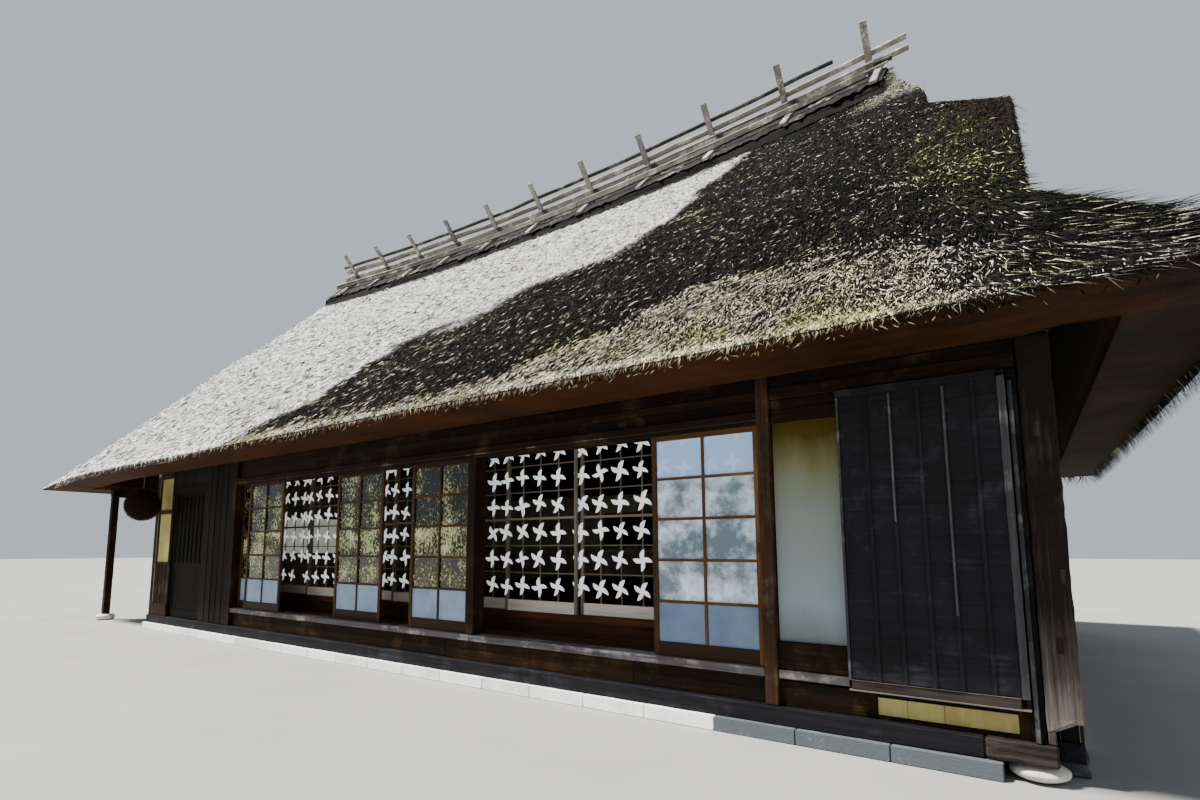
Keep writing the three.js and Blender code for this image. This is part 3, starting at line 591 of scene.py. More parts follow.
def weather_light_and_shade(points):
    """How damp and in painted tree shade, how mossy and how brown (partly painted shade) the straw is at many places,
    and how many of its tips are pale, partly as painted patches of sunlight.
    """
    x, y, z = points.T
    rows = points * np.array((0.4, 1.25, 1.25))
    large = clouds(points, 0.75) * 0.5 + clouds(rows, 2.3, 7.0) * 0.5
    inside = np.where(x > VERGE_X, 1.2, np.interp(x, SHADE_EDGE_X, SHADE_EDGE_Y) - y)
    # A painted shadow streak down the upper front, and a broad damp zone on the right of the back
    shadow_streak = np.exp(-((y + 1.55) / 0.13) ** 2) * smooth(x, 2.4, 3.0)
    behind = -0.45 + 1.3 * smooth(x, 2.2, 6.6) + 0.7 * clouds(points, 0.5, 61.0)
    damp = smooth(inside + 0.5 * large + 0.7 * shadow_streak, -0.12, 0.2)
    damp = np.where(y > 0, 0.72 * smooth(behind + 0.9 * large, -0.75, 0.85), damp)
    tuft = smooth(z, 6.35, 6.6) * smooth(x, 5.35, 5.7) * (y < 0)
    damp *= 1 - 0.35 * tuft
    # Pale tips in drifts of painted sunlight, at the sunlit foot and along the front eave; fewer towards the right
    # end and on the hood, which are in painted shade
    sun_dapples = clouds(rows, 1.1, 31.0) + 0.7 * clouds(rows, 3.2, 37.0) + 0.45 * clouds(rows, 8.5, 43.0)
    low = smooth(np.interp(x, SUNLIT_FOOT_X, SUNLIT_FOOT_Y) - y, -0.15, 0.4)
    pale = smooth(sun_dapples + 1.0 * low - 0.30, -0.05, 0.5) * smooth(inside, 0.15, 1.0)
    pale *= 1 - 0.7 * smooth(x, 5.6, 6.6) * smooth(y, -4.5, -4.0)
    pale = np.maximum(pale, 0.85 * smooth(-y, 4.72, 4.98) * smooth(6.9 - x, 0, 0.8))
    hood_shade = smooth(x, 6.2, 6.5) * smooth(z, 4.3, 4.7)
    pale *= (1 - 0.9 * smooth(x, 6.3, 6.95)) * (1 - hood_shade)
    pale = np.where(damp < 0.5, 0.75, np.maximum(pale, 0.7 * tuft))
    green = clouds(points, 1.05, 3.0) + 0.5 * clouds(points, 3.1, 5.0)
    verge = smooth(x, 6.0, 6.5) * smooth(-y, 2.0, 2.8) * smooth(z, 3.3, 3.7)
    moss = smooth(green + 0.5 * verge + tuft, -0.15, 0.5) * np.clip(0.35 + 0.5 * low + verge + tuft, 0, 1) * damp
    # Brown cut ends on the front of the right verge, darker also as painted shade of that corner
    brown_in_shade = smooth(x - 6.94 + 0.36 * np.clip((z - 4.3) / 0.9, 0, 1.3), 0.0, 0.08) * smooth(z, 4.3, 4.5) * (y < 0)
    return {"damp": damp, "moss": moss * 0.85, "cut": brown_in_shade * (x < 7)}, pale


def gridded(node, steps):
    """A copy of a node's mesh, cut by planes across the three axes."""
    bm = bmesh.new()
    bm.from_mesh(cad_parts[node].data)
    bmesh.ops.remove_doubles(bm, verts=bm.verts, dist=1e-5)
    bmesh.ops.dissolve_limit(bm, angle_limit=math.radians(0.05), verts=bm.verts, edges=bm.edges)
    lo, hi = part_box(node)
    for axis, step in enumerate(steps):
        normal = Vector([float(i == axis) for i in range(3)])
        for at in np.arange(lo[axis] + step / 2, hi[axis], step):
            cut = bm.verts[:] + bm.edges[:] + bm.faces[:]
            bmesh.ops.bisect_plane(bm, geom=cut, plane_co=normal * float(at), plane_no=normal, dist=1e-6)
    bmesh.ops.triangulate(bm, faces=bm.faces)
    bm.normal_update()
    return bm, np.array([v.co[:] for v in bm.verts]), np.array([v.normal[:] for v in bm.verts])


def draw_in(bm, points, normals, chosen, inset, wave):
    """Chosen points of a mesh moved inwards along their normals, by share, more or less by noise."""
    depth = inset + wave * (0.7 * clouds(points, 1.6) + 0.5 * clouds(points, 4.5, 2.0))
    moved = points - chosen[:, None] * (normals * np.maximum(depth, 0.004)[:, None])
    for vert, place in zip(bm.verts, moved):
        vert.co = place


def roof_body():
    """Top slopes, cut eaves and inner faces as three kinds of straw."""
    bm, points, normals = gridded("roof_thatch", (0.18, 0.18, 0.20))
    over = points[:, Z] - long_face(points[:, X], EAVE_Y - np.abs(points[:, Y]))
    right, left = (np.interp(points[:, Z], HOOD_HEIGHTS, profile) for profile in (HOOD_RIGHT, HOOD_LEFT))
    outer = (np.abs(over) < 0.03) | (points[:, X] > right - 0.01) | (points[:, X] < 0.01 - left)
    outer &= points[:, Z] > EAVE_Z - DROOP - 0.01
    draw_in(bm, points, normals, outer * edge_fade(points), INSET, 0.012)
    for face in bm.faces:
        n, c = face.normal, face.calc_center_median()
        inner = abs(c.x) < EAVE_X - 0.62 and abs(c.y) < EAVE_Y - 0.62 and n.z < 0.2
        hooded = n.x * c.x > 0 and abs(n.x) > 0.8 and abs(c.x) > RIDGE_RIGHT - 0.1 and c.z > SKIRT_TOP_Z
        if n.z > 0.2 or hooded:
            face.material_index = 1 if abs(n.x) > abs(n.y) else 0
        else:
            face.material_index = 3 if inner and c.z > CUT_Z + 0.05 else 2
    mesh = as_mesh(bm, "roof_body", True)
    values, pale = weather_light_and_shade(np.array([v.co[:] for v in mesh.vertices]))
    set_values(mesh, tone=0.22 + 0.2 * pale, **values)
    placed(mesh, "roof_body", HOUSE, "straw", (THATCH_LONG, THATCH_END, EAVE_CUT, SOFFIT), ("roof_thatch",))


def keep_share(points, share, draw):
    return points[draw.random(len(points)) < share][:MOST_STRAWS]


def near_camera(points, reach, power, least):
    distance = np.linalg.norm(points - np.array(CAMERA_AT), axis=1)
    return np.clip((reach / distance) ** power, least, 1)


def lay_straw(name, roots, down, across, out, long, wide, lift, material=THATCH_END, depth=(0.010, 0.030),
              drawn=1.2, spread=0.3):
    """One coat of straw: roots on a face, direction down its slope, lifted off it by degrees, fanned and swirled."""
    draw = dice(name)
    count = len(roots)
    roots = np.array([roof_tree.find_nearest(root)[0][:] for root in roots])
    yaw = (draw.normal(0, spread, count) + 0.5 * clouds(roots, 3.3, 11.0))[:, None]
    flat = down * np.cos(yaw) + across * np.sin(yaw)
    rise = np.radians(draw.uniform(*lift, count) * (1 - 0.7 * smooth(roots[:, X], 6.6, 7.1)))[:, None]
    along = flat * np.cos(rise) + out * np.sin(rise)
    corner = smooth(roots[:, X], 6.6, 7.2)
    length = draw.uniform(*long, count) * (1 + drawn * corner)
    width = draw.uniform(*wide, count) * (1 - 0.45 * corner)
    sunk = roots - out * (draw.uniform(*depth, count) * edge_fade(roots))[:, None]
    values, pale = weather_light_and_shade(roots)
    light = draw.random(count) < 0.08 + 0.80 * pale
    tone = np.where(light, draw.uniform(0.75, 1.12, count), draw.uniform(0.05, 0.62, count))
    # Darker straws towards the low right corner: painted shade.
    tone = np.where(light, tone, tone - 0.3 * corner)
    tone[draw.random(count) < 0.12] = -0.3
    tone += 0.16 * clouds(roots, 5.5, 21.0)
    # Small dark spots on the dry straw: painted shade in the ragged coat.
    tone -= 0.9 * smooth(clouds(roots, 11.0, 51.0), 0.22, 0.5) * (1 - values["damp"])
    spikes(name, sunk, along, out, length, width, material, "straw", LIMITS, tone=tone, **values)


def face_ends(z):
    """How far along X the long faces reach at a height, to the right and to the left."""
    right = np.where(z < SKIRT_TOP_Z, EAVE_X - (z - EAVE_Z) / SKIRT_SLOPE, VERGE_X)
    left_low = VERGE_X + (EAVE_X - VERGE_X) * (SKIRT_TOP_Z - z) / (SKIRT_TOP_Z - EAVE_Z + DROOP)
    left = np.where(z < SKIRT_TOP_Z, left_low, VERGE_X)
    high = z > HIP_CORNER_Z
    return (np.where(high, np.interp(z, HOOD_HEIGHTS, HOOD_RIGHT), right),
            np.where(high, np.interp(z, HOOD_HEIGHTS, HOOD_LEFT), left))


def long_side(name, side, tries, power, least, long, wide, x_from, x_to):
    """Straw on the front (side -1) or back (side 1) face between two places along X."""
    draw = dice(name + "_places")
    x = draw.uniform(x_from, x_to, tries)
    run = draw.uniform(0.004, EAVE_Y - 0.45, tries)
    z = long_face(x, run)
    right, left = face_ends(z)
    points = np.stack([x, side * (EAVE_Y - run), z], axis=1)
    points = points[(x < right - 0.02) & (x > -left + 0.02)]
    points = keep_share(points, near_camera(points, 5.0, power, least), draw)
    # The straw turns round the low right corner
    turn = smooth(points[:, X], 6.3, 7.4) * math.radians(66) * (side < 0) * smooth(4.2 - points[:, Z], 0, 0.8)
    down = np.stack([np.sin(turn), side * ROOT_HALF * np.cos(turn), -ROOT_HALF * np.cos(turn)], axis=1)
    across = np.stack([np.cos(turn), -side * ROOT_HALF * np.sin(turn), ROOT_HALF * np.sin(turn)], axis=1)
    out = np.array([0, side * ROOT_HALF, ROOT_HALF])
    lay_straw(name, points, down, across, out, long, wide, (2, 17), THATCH_LONG)


def end_side(name, side, tries, least, long, wide):
    """Straw on the low roof of an end; side 1 is the right one."""
    draw = dice(name + "_places")
    run = (EAVE_X - VERGE_X) * draw.uniform(0.03, 1, tries)
    droop = DROOP * (side < 0)
    slope = (SKIRT_TOP_Z - EAVE_Z + droop) / (EAVE_X - VERGE_X)
    z = EAVE_Z - droop + run * slope
    half = EAVE_Y - (z - EAVE_Z + settle(side * EAVE_X, z)) - 0.03
    points = np.stack([side * (EAVE_X - run), draw.uniform(-1, 1, tries) * half, z], axis=1)
    points = keep_share(points, near_camera(points, 4.5, 1.2, least), draw)
    size = math.hypot(1, slope)
    down, across = np.array([side / size, 0, -slope / size]), np.array([0.0, 1.0, 0.0])
    out = np.array([side * slope / size, 0, 1 / size])
    lay_straw(name, points, down, across, out, long, wide, (1, 9))


def hood_side(name, side, tries):
    """Straw on the small sloped end face at the ridge."""
    draw = dice(name + "_places")
    profile = HOOD_RIGHT if side > 0 else HOOD_LEFT
    z = draw.uniform(HIP_CORNER_Z, RIDGE_Z - 0.1, tries)
    half = np.maximum(RIDGE_Z - z - 0.02, 0.02)
    x = np.interp(z, HOOD_HEIGHTS, profile)
    points = np.stack([side * x, draw.uniform(-1, 1, tries) * half, z], axis=1)
    points = keep_share(points, half / half.max(), draw)
    below, here = (np.interp(points[:, Z] - drop, HOOD_HEIGHTS, profile) for drop in (0.05, 0))
    lean = (below - here) / 0.05
    size = np.hypot(1, lean)
    none = np.zeros(len(points))
    down = np.stack([side * lean / size, none, -1 / size], axis=1)
    out = np.stack([side / size, none, lean / size], axis=1)
    lay_straw(name, points, down, np.array([0.0, 1.0, 0.0]), out, (0.08, 0.17), (0.004, 0.009), (3, 16),
              depth=(0.002, 0.014))


def verge_side(name, side, count):
    """Cut ends and loose straw on the upright faces beside an end opening."""
    draw = dice(name + "_places")
    z = draw.uniform(SKIRT_TOP_Z, HIP_CORNER_Z + 0.1, count)
    near = draw.choice([-1.0, 1.0], count)
    depth = draw.uniform(0.0, 1.0, count) ** 1.6 * 0.6
    points = np.stack([np.full(count, side * VERGE_X), near * (RIDGE_Z - z - 0.03 - depth), z], axis=1)
    down = np.stack([np.full(count, side * 0.30), near * 0.67, np.full(count, -0.67)], axis=1)
    down /= np.linalg.norm(down, axis=1)[:, None]
    across, out = np.array([0.0, 0.0, 1.0]), np.array([float(side), 0.0, 0.0])
    lay_straw(name, points, down, across, out, (0.03, 0.07), (0.003, 0.007), (-4, 7))


def eave_fringe(name, start, end, inward, tries):
    """Ragged straw ends along one eave, from a start to an end corner."""
    draw = dice(name + "_places")
    share = draw.random(tries)[:, None]
    start, end, inward = (np.array(v, float) for v in (start, end, inward))
    points = start + (end - start) * share + inward * draw.uniform(0.005, 0.11, tries)[:, None]
    points[:, Z] += draw.uniform(0.03, 0.13, tries)
    points = keep_share(points, near_camera(points, 4.5, 1.0, 0.25), draw)
    down, out = -inward * 0.66 + np.array([0, 0, -0.75]), -inward * 0.75 + np.array([0, 0, 0.66])
    lay_straw(name, points, down, np.cross(-inward, (0, 0, 1)), out, (0.03, 0.07), (0.003, 0.008), (-4, 12),
              THATCH_LONG, drawn=0.2, spread=0.4)


def roof():
    roof_body()
    long_side("straw_front_right", -1, 110000, 1.3, 0.12, (0.05, 0.12), (0.0028, 0.0064), 4.4, EAVE_X)
    long_side("straw_front_middle", -1, 100000, 1.3, 0.12, (0.06, 0.13), (0.0034, 0.0078), 0.6, 4.4)
    long_side("straw_front_left", -1, 78000, 1.0, 0.1, (0.07, 0.16), (0.005, 0.011), -EAVE_X, 0.6)
    long_side("straw_back", 1, 30000, 0.01, 0.24, (0.16, 0.34), (0.009, 0.017), -EAVE_X, EAVE_X)
    end_side("straw_end_right", 1, 13500, 0.8, (0.10, 0.24), (0.003, 0.007))
    end_side("straw_end_left", -1, 9000, 0.9, (0.12, 0.26), (0.006, 0.011))
    hood_side("straw_hood_right", 1, 7000)
    hood_side("straw_hood_left", -1, 5000)
    verge_side("straw_verge_right", 1, 5500)
    verge_side("straw_verge_left", -1, 3500)
    sunk = EAVE_Z - DROOP
    for place, start, end, inward, tries in (
            ("front", (WALL_LEFT, -EAVE_Y, EAVE_Z), (EAVE_X, -EAVE_Y, EAVE_Z), (0, 1, 0), 22000),
            ("front_left", (-EAVE_X, -EAVE_Y, sunk), (WALL_LEFT, -EAVE_Y, EAVE_Z), (0, 1, 0), 4000),
            ("right", (EAVE_X, -EAVE_Y, EAVE_Z), (EAVE_X, EAVE_Y, EAVE_Z), (-1, 0, 0), 6000),
            ("left", (-EAVE_X, -EAVE_Y, sunk), (-EAVE_X, EAVE_Y, sunk), (1, 0, 0), 5000),
            ("back", (-EAVE_X, EAVE_Y, EAVE_Z), (EAVE_X, EAVE_Y, EAVE_Z), (0, -1, 0), 8000)):
        eave_fringe("fringe_" + place, start, end, inward, tries)


# Ridge: straw dark with painted shade, sheets of bark, bundles of straw, crossed timbers, poles and planks
CAP_RUN = 0.64
CAP_THICK = 0.15
CROSS_Z = 7.7254
TIMBERS = 11
TIMBER_PITCH = 1.12
TIMBER_MIDDLE = -0.02
TIMBER_WIDE = 0.10
TIMBER_THICK = 0.045
TIMBER_FOOT = 0.86
TIMBER_TIP = 0.62
POLE_LEFT = -RIDGE_X + 0.12
POLE_PAST = 0.24
PLANK_PAST = 0.05
# The ridge's wood: pale grey in painted sunlight on edges and front poles, and a dark copy in painted shade on plank
# faces and back poles.
SUNLIT, UP, SHADED_SIDE = 0, 1, 2     # the ridge's kinds of wood
END_STRAWS = 1800


def ridge_sag(x):
    return SAG * max(1 - (x / RIDGE_X) ** 2, 0)


def ridge_straw():
    """Straw under the bark, as the frame's cap drawn in, dark all over as painted shade under the bark."""
    bm, points, normals = gridded("ridge_cap", (0.09, 0.09, 0.2))
    above = points[:, Z] - long_face(points[:, X], EAVE_Y - np.abs(points[:, Y])) > 0.01
    draw_in(bm, points, normals, above * 1.0, 0.045, 0.04)
    mesh = as_mesh(bm, "ridge_straw")
    set_values(mesh, tone=-0.1, damp=1.0, moss=0.0)
    placed(mesh, "ridge_straw", HOUSE, "bark", [THATCH_LONG], ("ridge_cap",))


def bark_sheets():
    """Overlapping sheets of bark on both slopes, torn along their lower edges."""
    pile = Pile(BARK)
    draw = dice("bark")
    for side in (-1, 1):
        for layer, (top, foot) in enumerate(((0.30, 0.62), (0.02, 0.42))):
            x = -RIDGE_X + 0.02
            while x < RIDGE_RIGHT - 0.1:
                wide = min(draw.uniform(0.22, 0.42), RIDGE_RIGHT - 0.02 - x)
                sheet(pile, draw, side, x, x + wide + 0.02, top, foot, layer)
                x += wide
    pile.piece("bark_sheets", "bark")


def sheet(pile, draw, side, x0, x1, top, foot, layer):
    """One sheet: a thin closed slab that follows the slope."""
    columns, rows = 6, 4
    lift = 0.012 + 0.016 * layer + draw.uniform(0, 0.008)
    torn = draw.uniform(-0.10, 0.02, columns)
    curl = draw.uniform(-0.006, 0.016, (columns, rows))
    surface = []
    for i in range(columns):
        x = min(x0 + (x1 - x0) * i / (columns - 1), RIDGE_RIGHT - 0.01)
        for j in range(rows):
            out = min(top + (foot + torn[i] - top) * j / (rows - 1), CAP_RUN - 0.005)
            z = RIDGE_Z - out - ridge_sag(x) + CAP_THICK - 0.045 + lift + curl[i, j] + 0.02 * (1 - layer)
            surface.append((x, side * out, z))
    cells = columns * rows
    faces = []
    for i in range(columns - 1):
        for a in range(i * rows, i * rows + rows - 1):
            quad = (a, a + rows, a + rows + 1, a + 1)[::-side]
            faces += [quad, tuple(cells + k for k in reversed(quad))]
    border = [*range(rows), *range(2 * rows - 1, cells, rows), *range(cells - 2, cells - rows - 1, -1),
              *range(cells - 2 * rows, 0, -rows)]
    faces += [(a, b, cells + b, cells + a)[::-side] for a, b in zip(border, border[1:] + border[:1])]
    surface = np.array(surface)
    pile.add(np.concatenate([surface + np.array([0, 0, 0.006]), surface]), faces, draw.random())


def ridge_ends():
    """Pale bundle ends of straw that close both ends of the ridge."""
    draw = dice("ridge_ends")
    roots, along, out = [], [], []
    for side in (-1, 1):
        for _ in range(END_STRAWS):
            y = draw.uniform(-0.5, 0.5)
            x = side * ((RIDGE_RIGHT if side > 0 else RIDGE_X) - draw.uniform(0.02, 0.3))
            roots.append((x, y, RIDGE_Z - abs(y) - ridge_sag(x) + draw.uniform(0.0, 0.11)))
            along.append((side * 0.75, 0.35 * y + draw.normal(0, 0.12), -0.35 - 0.4 * abs(y) + draw.normal(0, 0.14)))
            out.append((0, 0.6 * np.sign(y), 0.8))
    along = np.array(along)
    along /= np.linalg.norm(along, axis=1)[:, None]
    count = len(roots)
    tone = draw.uniform(0.1, 1.0, count)
    length, width = draw.uniform(0.08, 0.2, count), draw.uniform(0.004, 0.009, count)
    spikes("ridge_end_straw", np.array(roots), along, np.array(out), length, width, THATCH_END, "straw", LIMITS,
           tone=tone, damp=np.full(count, 0.7), moss=np.full(count, 0.5))


def slanted(pile, start, end, wide, thick, out, edge, parts, rough, tone, slot, seed):
    """A timber from one point to another; out is the way its broad face looks."""
    start, end, out = (np.array(v, float) for v in (start, end, out))
    length = np.linalg.norm(end - start)
    along = (end - start) / length
    side = np.cross(out, along)
    side /= np.linalg.norm(side)
    scratch = Pile()
    local = bar(scratch, (-wide / 2, -thick / 2, 0), (wide / 2, thick / 2, length), edge, parts, rough, seed=seed)
    points = start + local[:, :1] * side + local[:, 1:2] * np.cross(along, side) + local[:, 2:] * along
    pile.add(points, scratch.faces, tone, slot)


def ring(x, y, radius, turn=0.0):
    """Places around a centre."""
    turns = [2 * math.pi * k / RING + turn for k in range(RING)]
    return [(x + radius * math.cos(a), y + radius * math.sin(a)) for a in turns]


def round_pole(pile, x1, y, z_over, radius, tone, kind):
    """A peeled pole that follows the sagging ridge, a height over its line."""
    draw = dice("pole%.3f" % (y + z_over))
    count = max(int((x1 - POLE_LEFT) / 0.4), 2)
    points = []
    for i in range(count + 1):
        x = POLE_LEFT + (x1 - POLE_LEFT) * i / count
        r = radius * (1 - 0.18 * i / count) * draw.uniform(0.93, 1.0)
        wander = draw.normal(0, 0.004, 2)
        points += [(x, *place) for place in ring(y + wander[0], RIDGE_Z - ridge_sag(x) + z_over + wander[1], r)]
    pile.add(points, tube_faces(count + 1), tone, kind)


def ridge_planks(pile):
    """Upright and lower planks in lengths of about two metres, along both sides: each a face dark with painted shade
    under a pale top edge in painted sunlight.
    """
    draw = dice("planks")
    rows = ((0.150, 0.050, 0.186, 0.026, SHADED_SIDE), (0.150, 0.187, 0.209, 0.032, SUNLIT),
            (0.395, -0.175, -0.092, 0.022, SHADED_SIDE), (0.395, -0.091, -0.074, 0.028, SUNLIT))
    for side in (-1, 1):
        for out, low, high, thick, kind in rows:
            x = POLE_LEFT
            while x < RIDGE_RIGHT - 0.3:
                far = min(x + draw.uniform(1.8, 2.6), RIDGE_RIGHT + PLANK_PAST)
                shift = draw.uniform(-0.008, 0.008)
                z0, z1 = (RIDGE_Z - ridge_sag(v) + (low + high) / 2 + shift for v in (x, far))
                y = side * (out + draw.uniform(-0.005, 0.005))
                slanted(pile, (x, y, z0), (far - 0.004, y, z1), high - low, thick, (0, side, 0),
                        0.004, 8, 0.002, draw.uniform(0.3, 1), kind, int(x * 10) + 100)
                x = far


def ridge_frame():
    pile = Pile(GREY_WOOD[X], GREY_WOOD[Z], SHADED_PLANK_WOOD[X])
    draw = dice("timbers")
    for i in range(TIMBERS):
        x = TIMBER_MIDDLE + (i - (TIMBERS - 1) / 2) * TIMBER_PITCH
        z = CROSS_Z - ridge_sag(x)
        for side in (-1, 1):
            mid = x + side * TIMBER_WIDE / 2
            foot = (mid, -side * ROOT_HALF * TIMBER_FOOT, z - ROOT_HALF * TIMBER_FOOT)
            reach = TIMBER_TIP - draw.uniform(0, 0.04)
            tip = (mid + draw.normal(0, 0.01), side * ROOT_HALF * reach, z + ROOT_HALF * reach)
            slanted(pile, foot, tip, TIMBER_WIDE - 0.012, TIMBER_THICK, (0, -side * ROOT_HALF, ROOT_HALF),
                    0.005, 6, 0.004, draw.uniform(0.3, 0.9), UP, i)
    ridge_planks(pile)
    for side in (-1, 1):
        # Front poles pale in painted sunlight, back poles dark in painted shade.
        for out, over, radius, past, kind in ((0.11, 0.358, 0.050, POLE_PAST, SUNLIT),
                                              (0.21, 0.440, 0.036, -0.64, SHADED_SIDE)):
            round_pole(pile, RIDGE_RIGHT + past, side * out, over, radius, draw.uniform(0.3, 0.9), kind)
    # The middle pole dark in painted shade.
    round_pole(pile, RIDGE_RIGHT + PLANK_PAST, 0.0, 0.25, 0.04, 0.6, SHADED_SIDE)
    pile.piece("ridge_timbers", "weathered_wood", ("ridge_frame",))


def gable_walls():
    """Small walls in the end openings: plaster behind upright slats, with a barred vent."""
    for side, name in ((1, "right"), (-1, "left")):
        lo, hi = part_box("gable_wall_" + name)
        dress("gable_wall_" + name, WALL)
        pile = Pile(*OLD_WOOD)
        lay = on_wall(pile, Y, hi.x if side > 0 else lo.x, side)
        vent_lo, vent_hi = lo.z + 0.50, lo.z + 1.15
        for k in range(9):
            y = -0.6 + 1.2 * k / 8
            lay(y - 0.018, y + 0.018, vent_lo - 0.05, vent_hi + 0.05, 0.03, under=0.004)
        for z in (vent_lo - 0.05, vent_hi + 0.01):
            lay(-0.68, 0.68, z, z + 0.05, 0.036, under=0.004)
        for z in (lo.z + 0.03, hi.z - 0.13):
            reach = min(2.8, 4.3 - (z - CUT_Z)) - 0.1
            lay(-reach, reach, z, z + 0.09, 0.03, parts=6, rough=0.003, under=0.002)
        for y in (-1.5, -0.75, 0.75, 1.5):
            top = min(hi.z - 0.04, CUT_Z + 4.425 - abs(y) - 0.3)
            lay(y - 0.04, y + 0.04, lo.z + 0.12, top - 0.1, 0.026, under=0.002)
        pile.piece("gable_timbers_" + name, "dark_wood")


# Ground: kerb blocks, ground beams and the corner boulder
KERB_FIRST = 3.133
KERB_STEP = 0.575
JOINT = 0.005
BEAM_END = 6.50
BEAM_TOP = 0.22


def kerb_row(name, axis):
    """Blocks of one kerb with open joints between them."""
    lo, hi = corners(name)
    pile = Pile(KERB)
    draw = dice(name)
    first = KERB_FIRST + math.ceil((lo[axis] - KERB_FIRST) / KERB_STEP) * KERB_STEP
    if first - lo[axis] <= 0.1:
        first += KERB_STEP
    cuts = [lo[axis], *np.arange(first, hi[axis] - 0.1, KERB_STEP), hi[axis]]
    for a, b in zip(cuts, cuts[1:]):
        low, high = lo.copy(), hi.copy()
        low[axis], high[axis] = a + JOINT / 2, b - JOINT / 2
        shaded = name == "kerb_front" and a > 4.6 or name == "kerb_right" and a < -3.5
        bar(pile, low, high, 0.005, 5, 0.002, -0.75 if shaded else draw.uniform(0.8, 1.5))
    pile.piece("blocks_" + name, "stone", (name,))


def boulder():
    """A round whitish stone with a worn top, under the corner."""
    lo, hi = corners("corner_stone")
    centre = (lo + hi) / 2

    def shape(co):
        bulge = 0.97 + 0.03 * noise.noise(co * 2.1)
        flat = Vector((co.x, co.y, max(min(co.z * 1.1, 1), -1)))
        return [centre[i] + flat[i] * (hi[i] - centre[i]) * bulge for i in range(3)]
    placed(ball("boulder", 4, shape), "boulder", HOUSE, "stone", [BOULDER], ("corner_stone",))


def ground():
    for side, axis in (("front", X), ("back", X), ("left", Y), ("right", Y)):
        kerb_row("kerb_" + side, axis)
    for side in ("front", "back", "left", "right"):
        name = "ground_beam_" + side
        lo, hi = corners(name)
        rows = [(lo, hi, 0.01, 60, 0.005, 0.75)]
        if side == "front":
            hi[Z] = BEAM_TOP
            rows = [(lo, (BEAM_END, hi[Y], hi[Z]), 0.01, 60, 0.005, 0.75),
                    # The beam's end in paler post wood: weathered grey, and lit by painted sunlight.
                    ((BEAM_END + 0.001, lo[Y], lo[Z]), hi, 0.012, 6, 0.006, 0.1, 3),
                    ((-4.5, -4.057, 0.2185), (-2.555, -4.051, 0.2247), 0.001, 1, 0, 0.8)]
        timber("beam_" + side, (*BLACK_WOOD, POST_WOOD[X]), rows, replaces=(name,))
    boulder()


# Front wall, right part: corner post, panel and shutter box
POST_FOOT = 0.28


def corner_post():
    """The weathered corner post, worn away at its foot."""
    lo, hi = corners("corner_post_right")
    pile = Pile(*POST_WOOD)
    points = bar(pile, (lo[X], lo[Y], POST_FOOT), hi, 0.012, 40, 0.006, 0.0)
    pile.tones[-1] = np.interp(points[:, Z], (0.3, 0.75, 1.1, 2.4), (1.1, 0.5, -0.3, -0.3))
    foot = points[:, Z] < POST_FOOT + 0.02
    worn = np.interp(points[:, X], [lo[X], lo[X] + 0.12, hi[X]], [0.281, 0.30, 0.39])
    points[foot, Z] = worn[foot] + (points[foot, Z] - POST_FOOT)
    bar(pile, (lo[X] + 0.003, lo[Y] + 0.004, lo[Z]), (6.836, -4.004, 0.30), 0.006, 2, 0.002, 0.6)
    for z, x in ((1.95, 6.85), (1.1, 6.91), (0.72, 6.87)):
        bar(pile, (x, lo[Y] + 0.001, z), (x + 0.03, lo[Y] + 0.01, z + 0.09), 0.004, tone=0.0)
    pile.piece("corner_post", "weathered_wood", ("corner_post_right",))


def wall_panel():
    """White panel and cream strip on the right part of the front wall, with the boards around them."""
    dress("wall_front_right", BLACK_WOOD[X])
    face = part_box("wall_front_right")[0].y
    left, panel, right = 5.312, 5.776, 6.790
    front_boards("white_panel", (shaded_panel(),), face, [(5.318, 5.772, 0.655, 2.212, 0.008, 0.002)], "plaster")
    strip = [(a + 0.001, b - 0.001, 0.245, 0.352, 0.010, 0.002)
             for a, b in ((5.93, 6.10), (6.10, 6.30), (6.30, 6.67))]
    front_boards("cream_strip", (CREAM,), face, strip, "plaster")
    front_boards("panel_boards", SMOKED_WOOD, face, (
        (left, panel, 0.466, 0.655, 0.032, 0.003, 2, 0.002, 0.25),
        (left, panel + 0.002, 2.212, 2.30, 0.040, 0.003, 2, 0.002, 0.4),
        (left, right, 2.378, 2.47, 0.052, 0.006, 6, 0.004, 0.35),
        (left, panel + 0.002, 2.302, 2.376, 0.030, 0.003, 3, 0.003, 0.3),
        (left, right, 2.472, 2.556, 0.030, 0.003, 6, 0.003, 0.25),
        (left, 5.928, 0.222, 0.384, 0.02, 0.003, 2, 0.002, 0.2),
        (6.672, right, 0.222, 0.384, 0.02, 0.003, 2, 0.002, 0.2),
        (5.93, 6.67, 0.222, 0.243, 0.02, 0.002, 2, 0.001, 0.2)))
    front_boards("panel_sill", TRACK_WOOD, face, [(left, panel, 0.404, 0.464, 0.05, 0.005, 3, 0.003, 0.5)],
                 "weathered_wood")


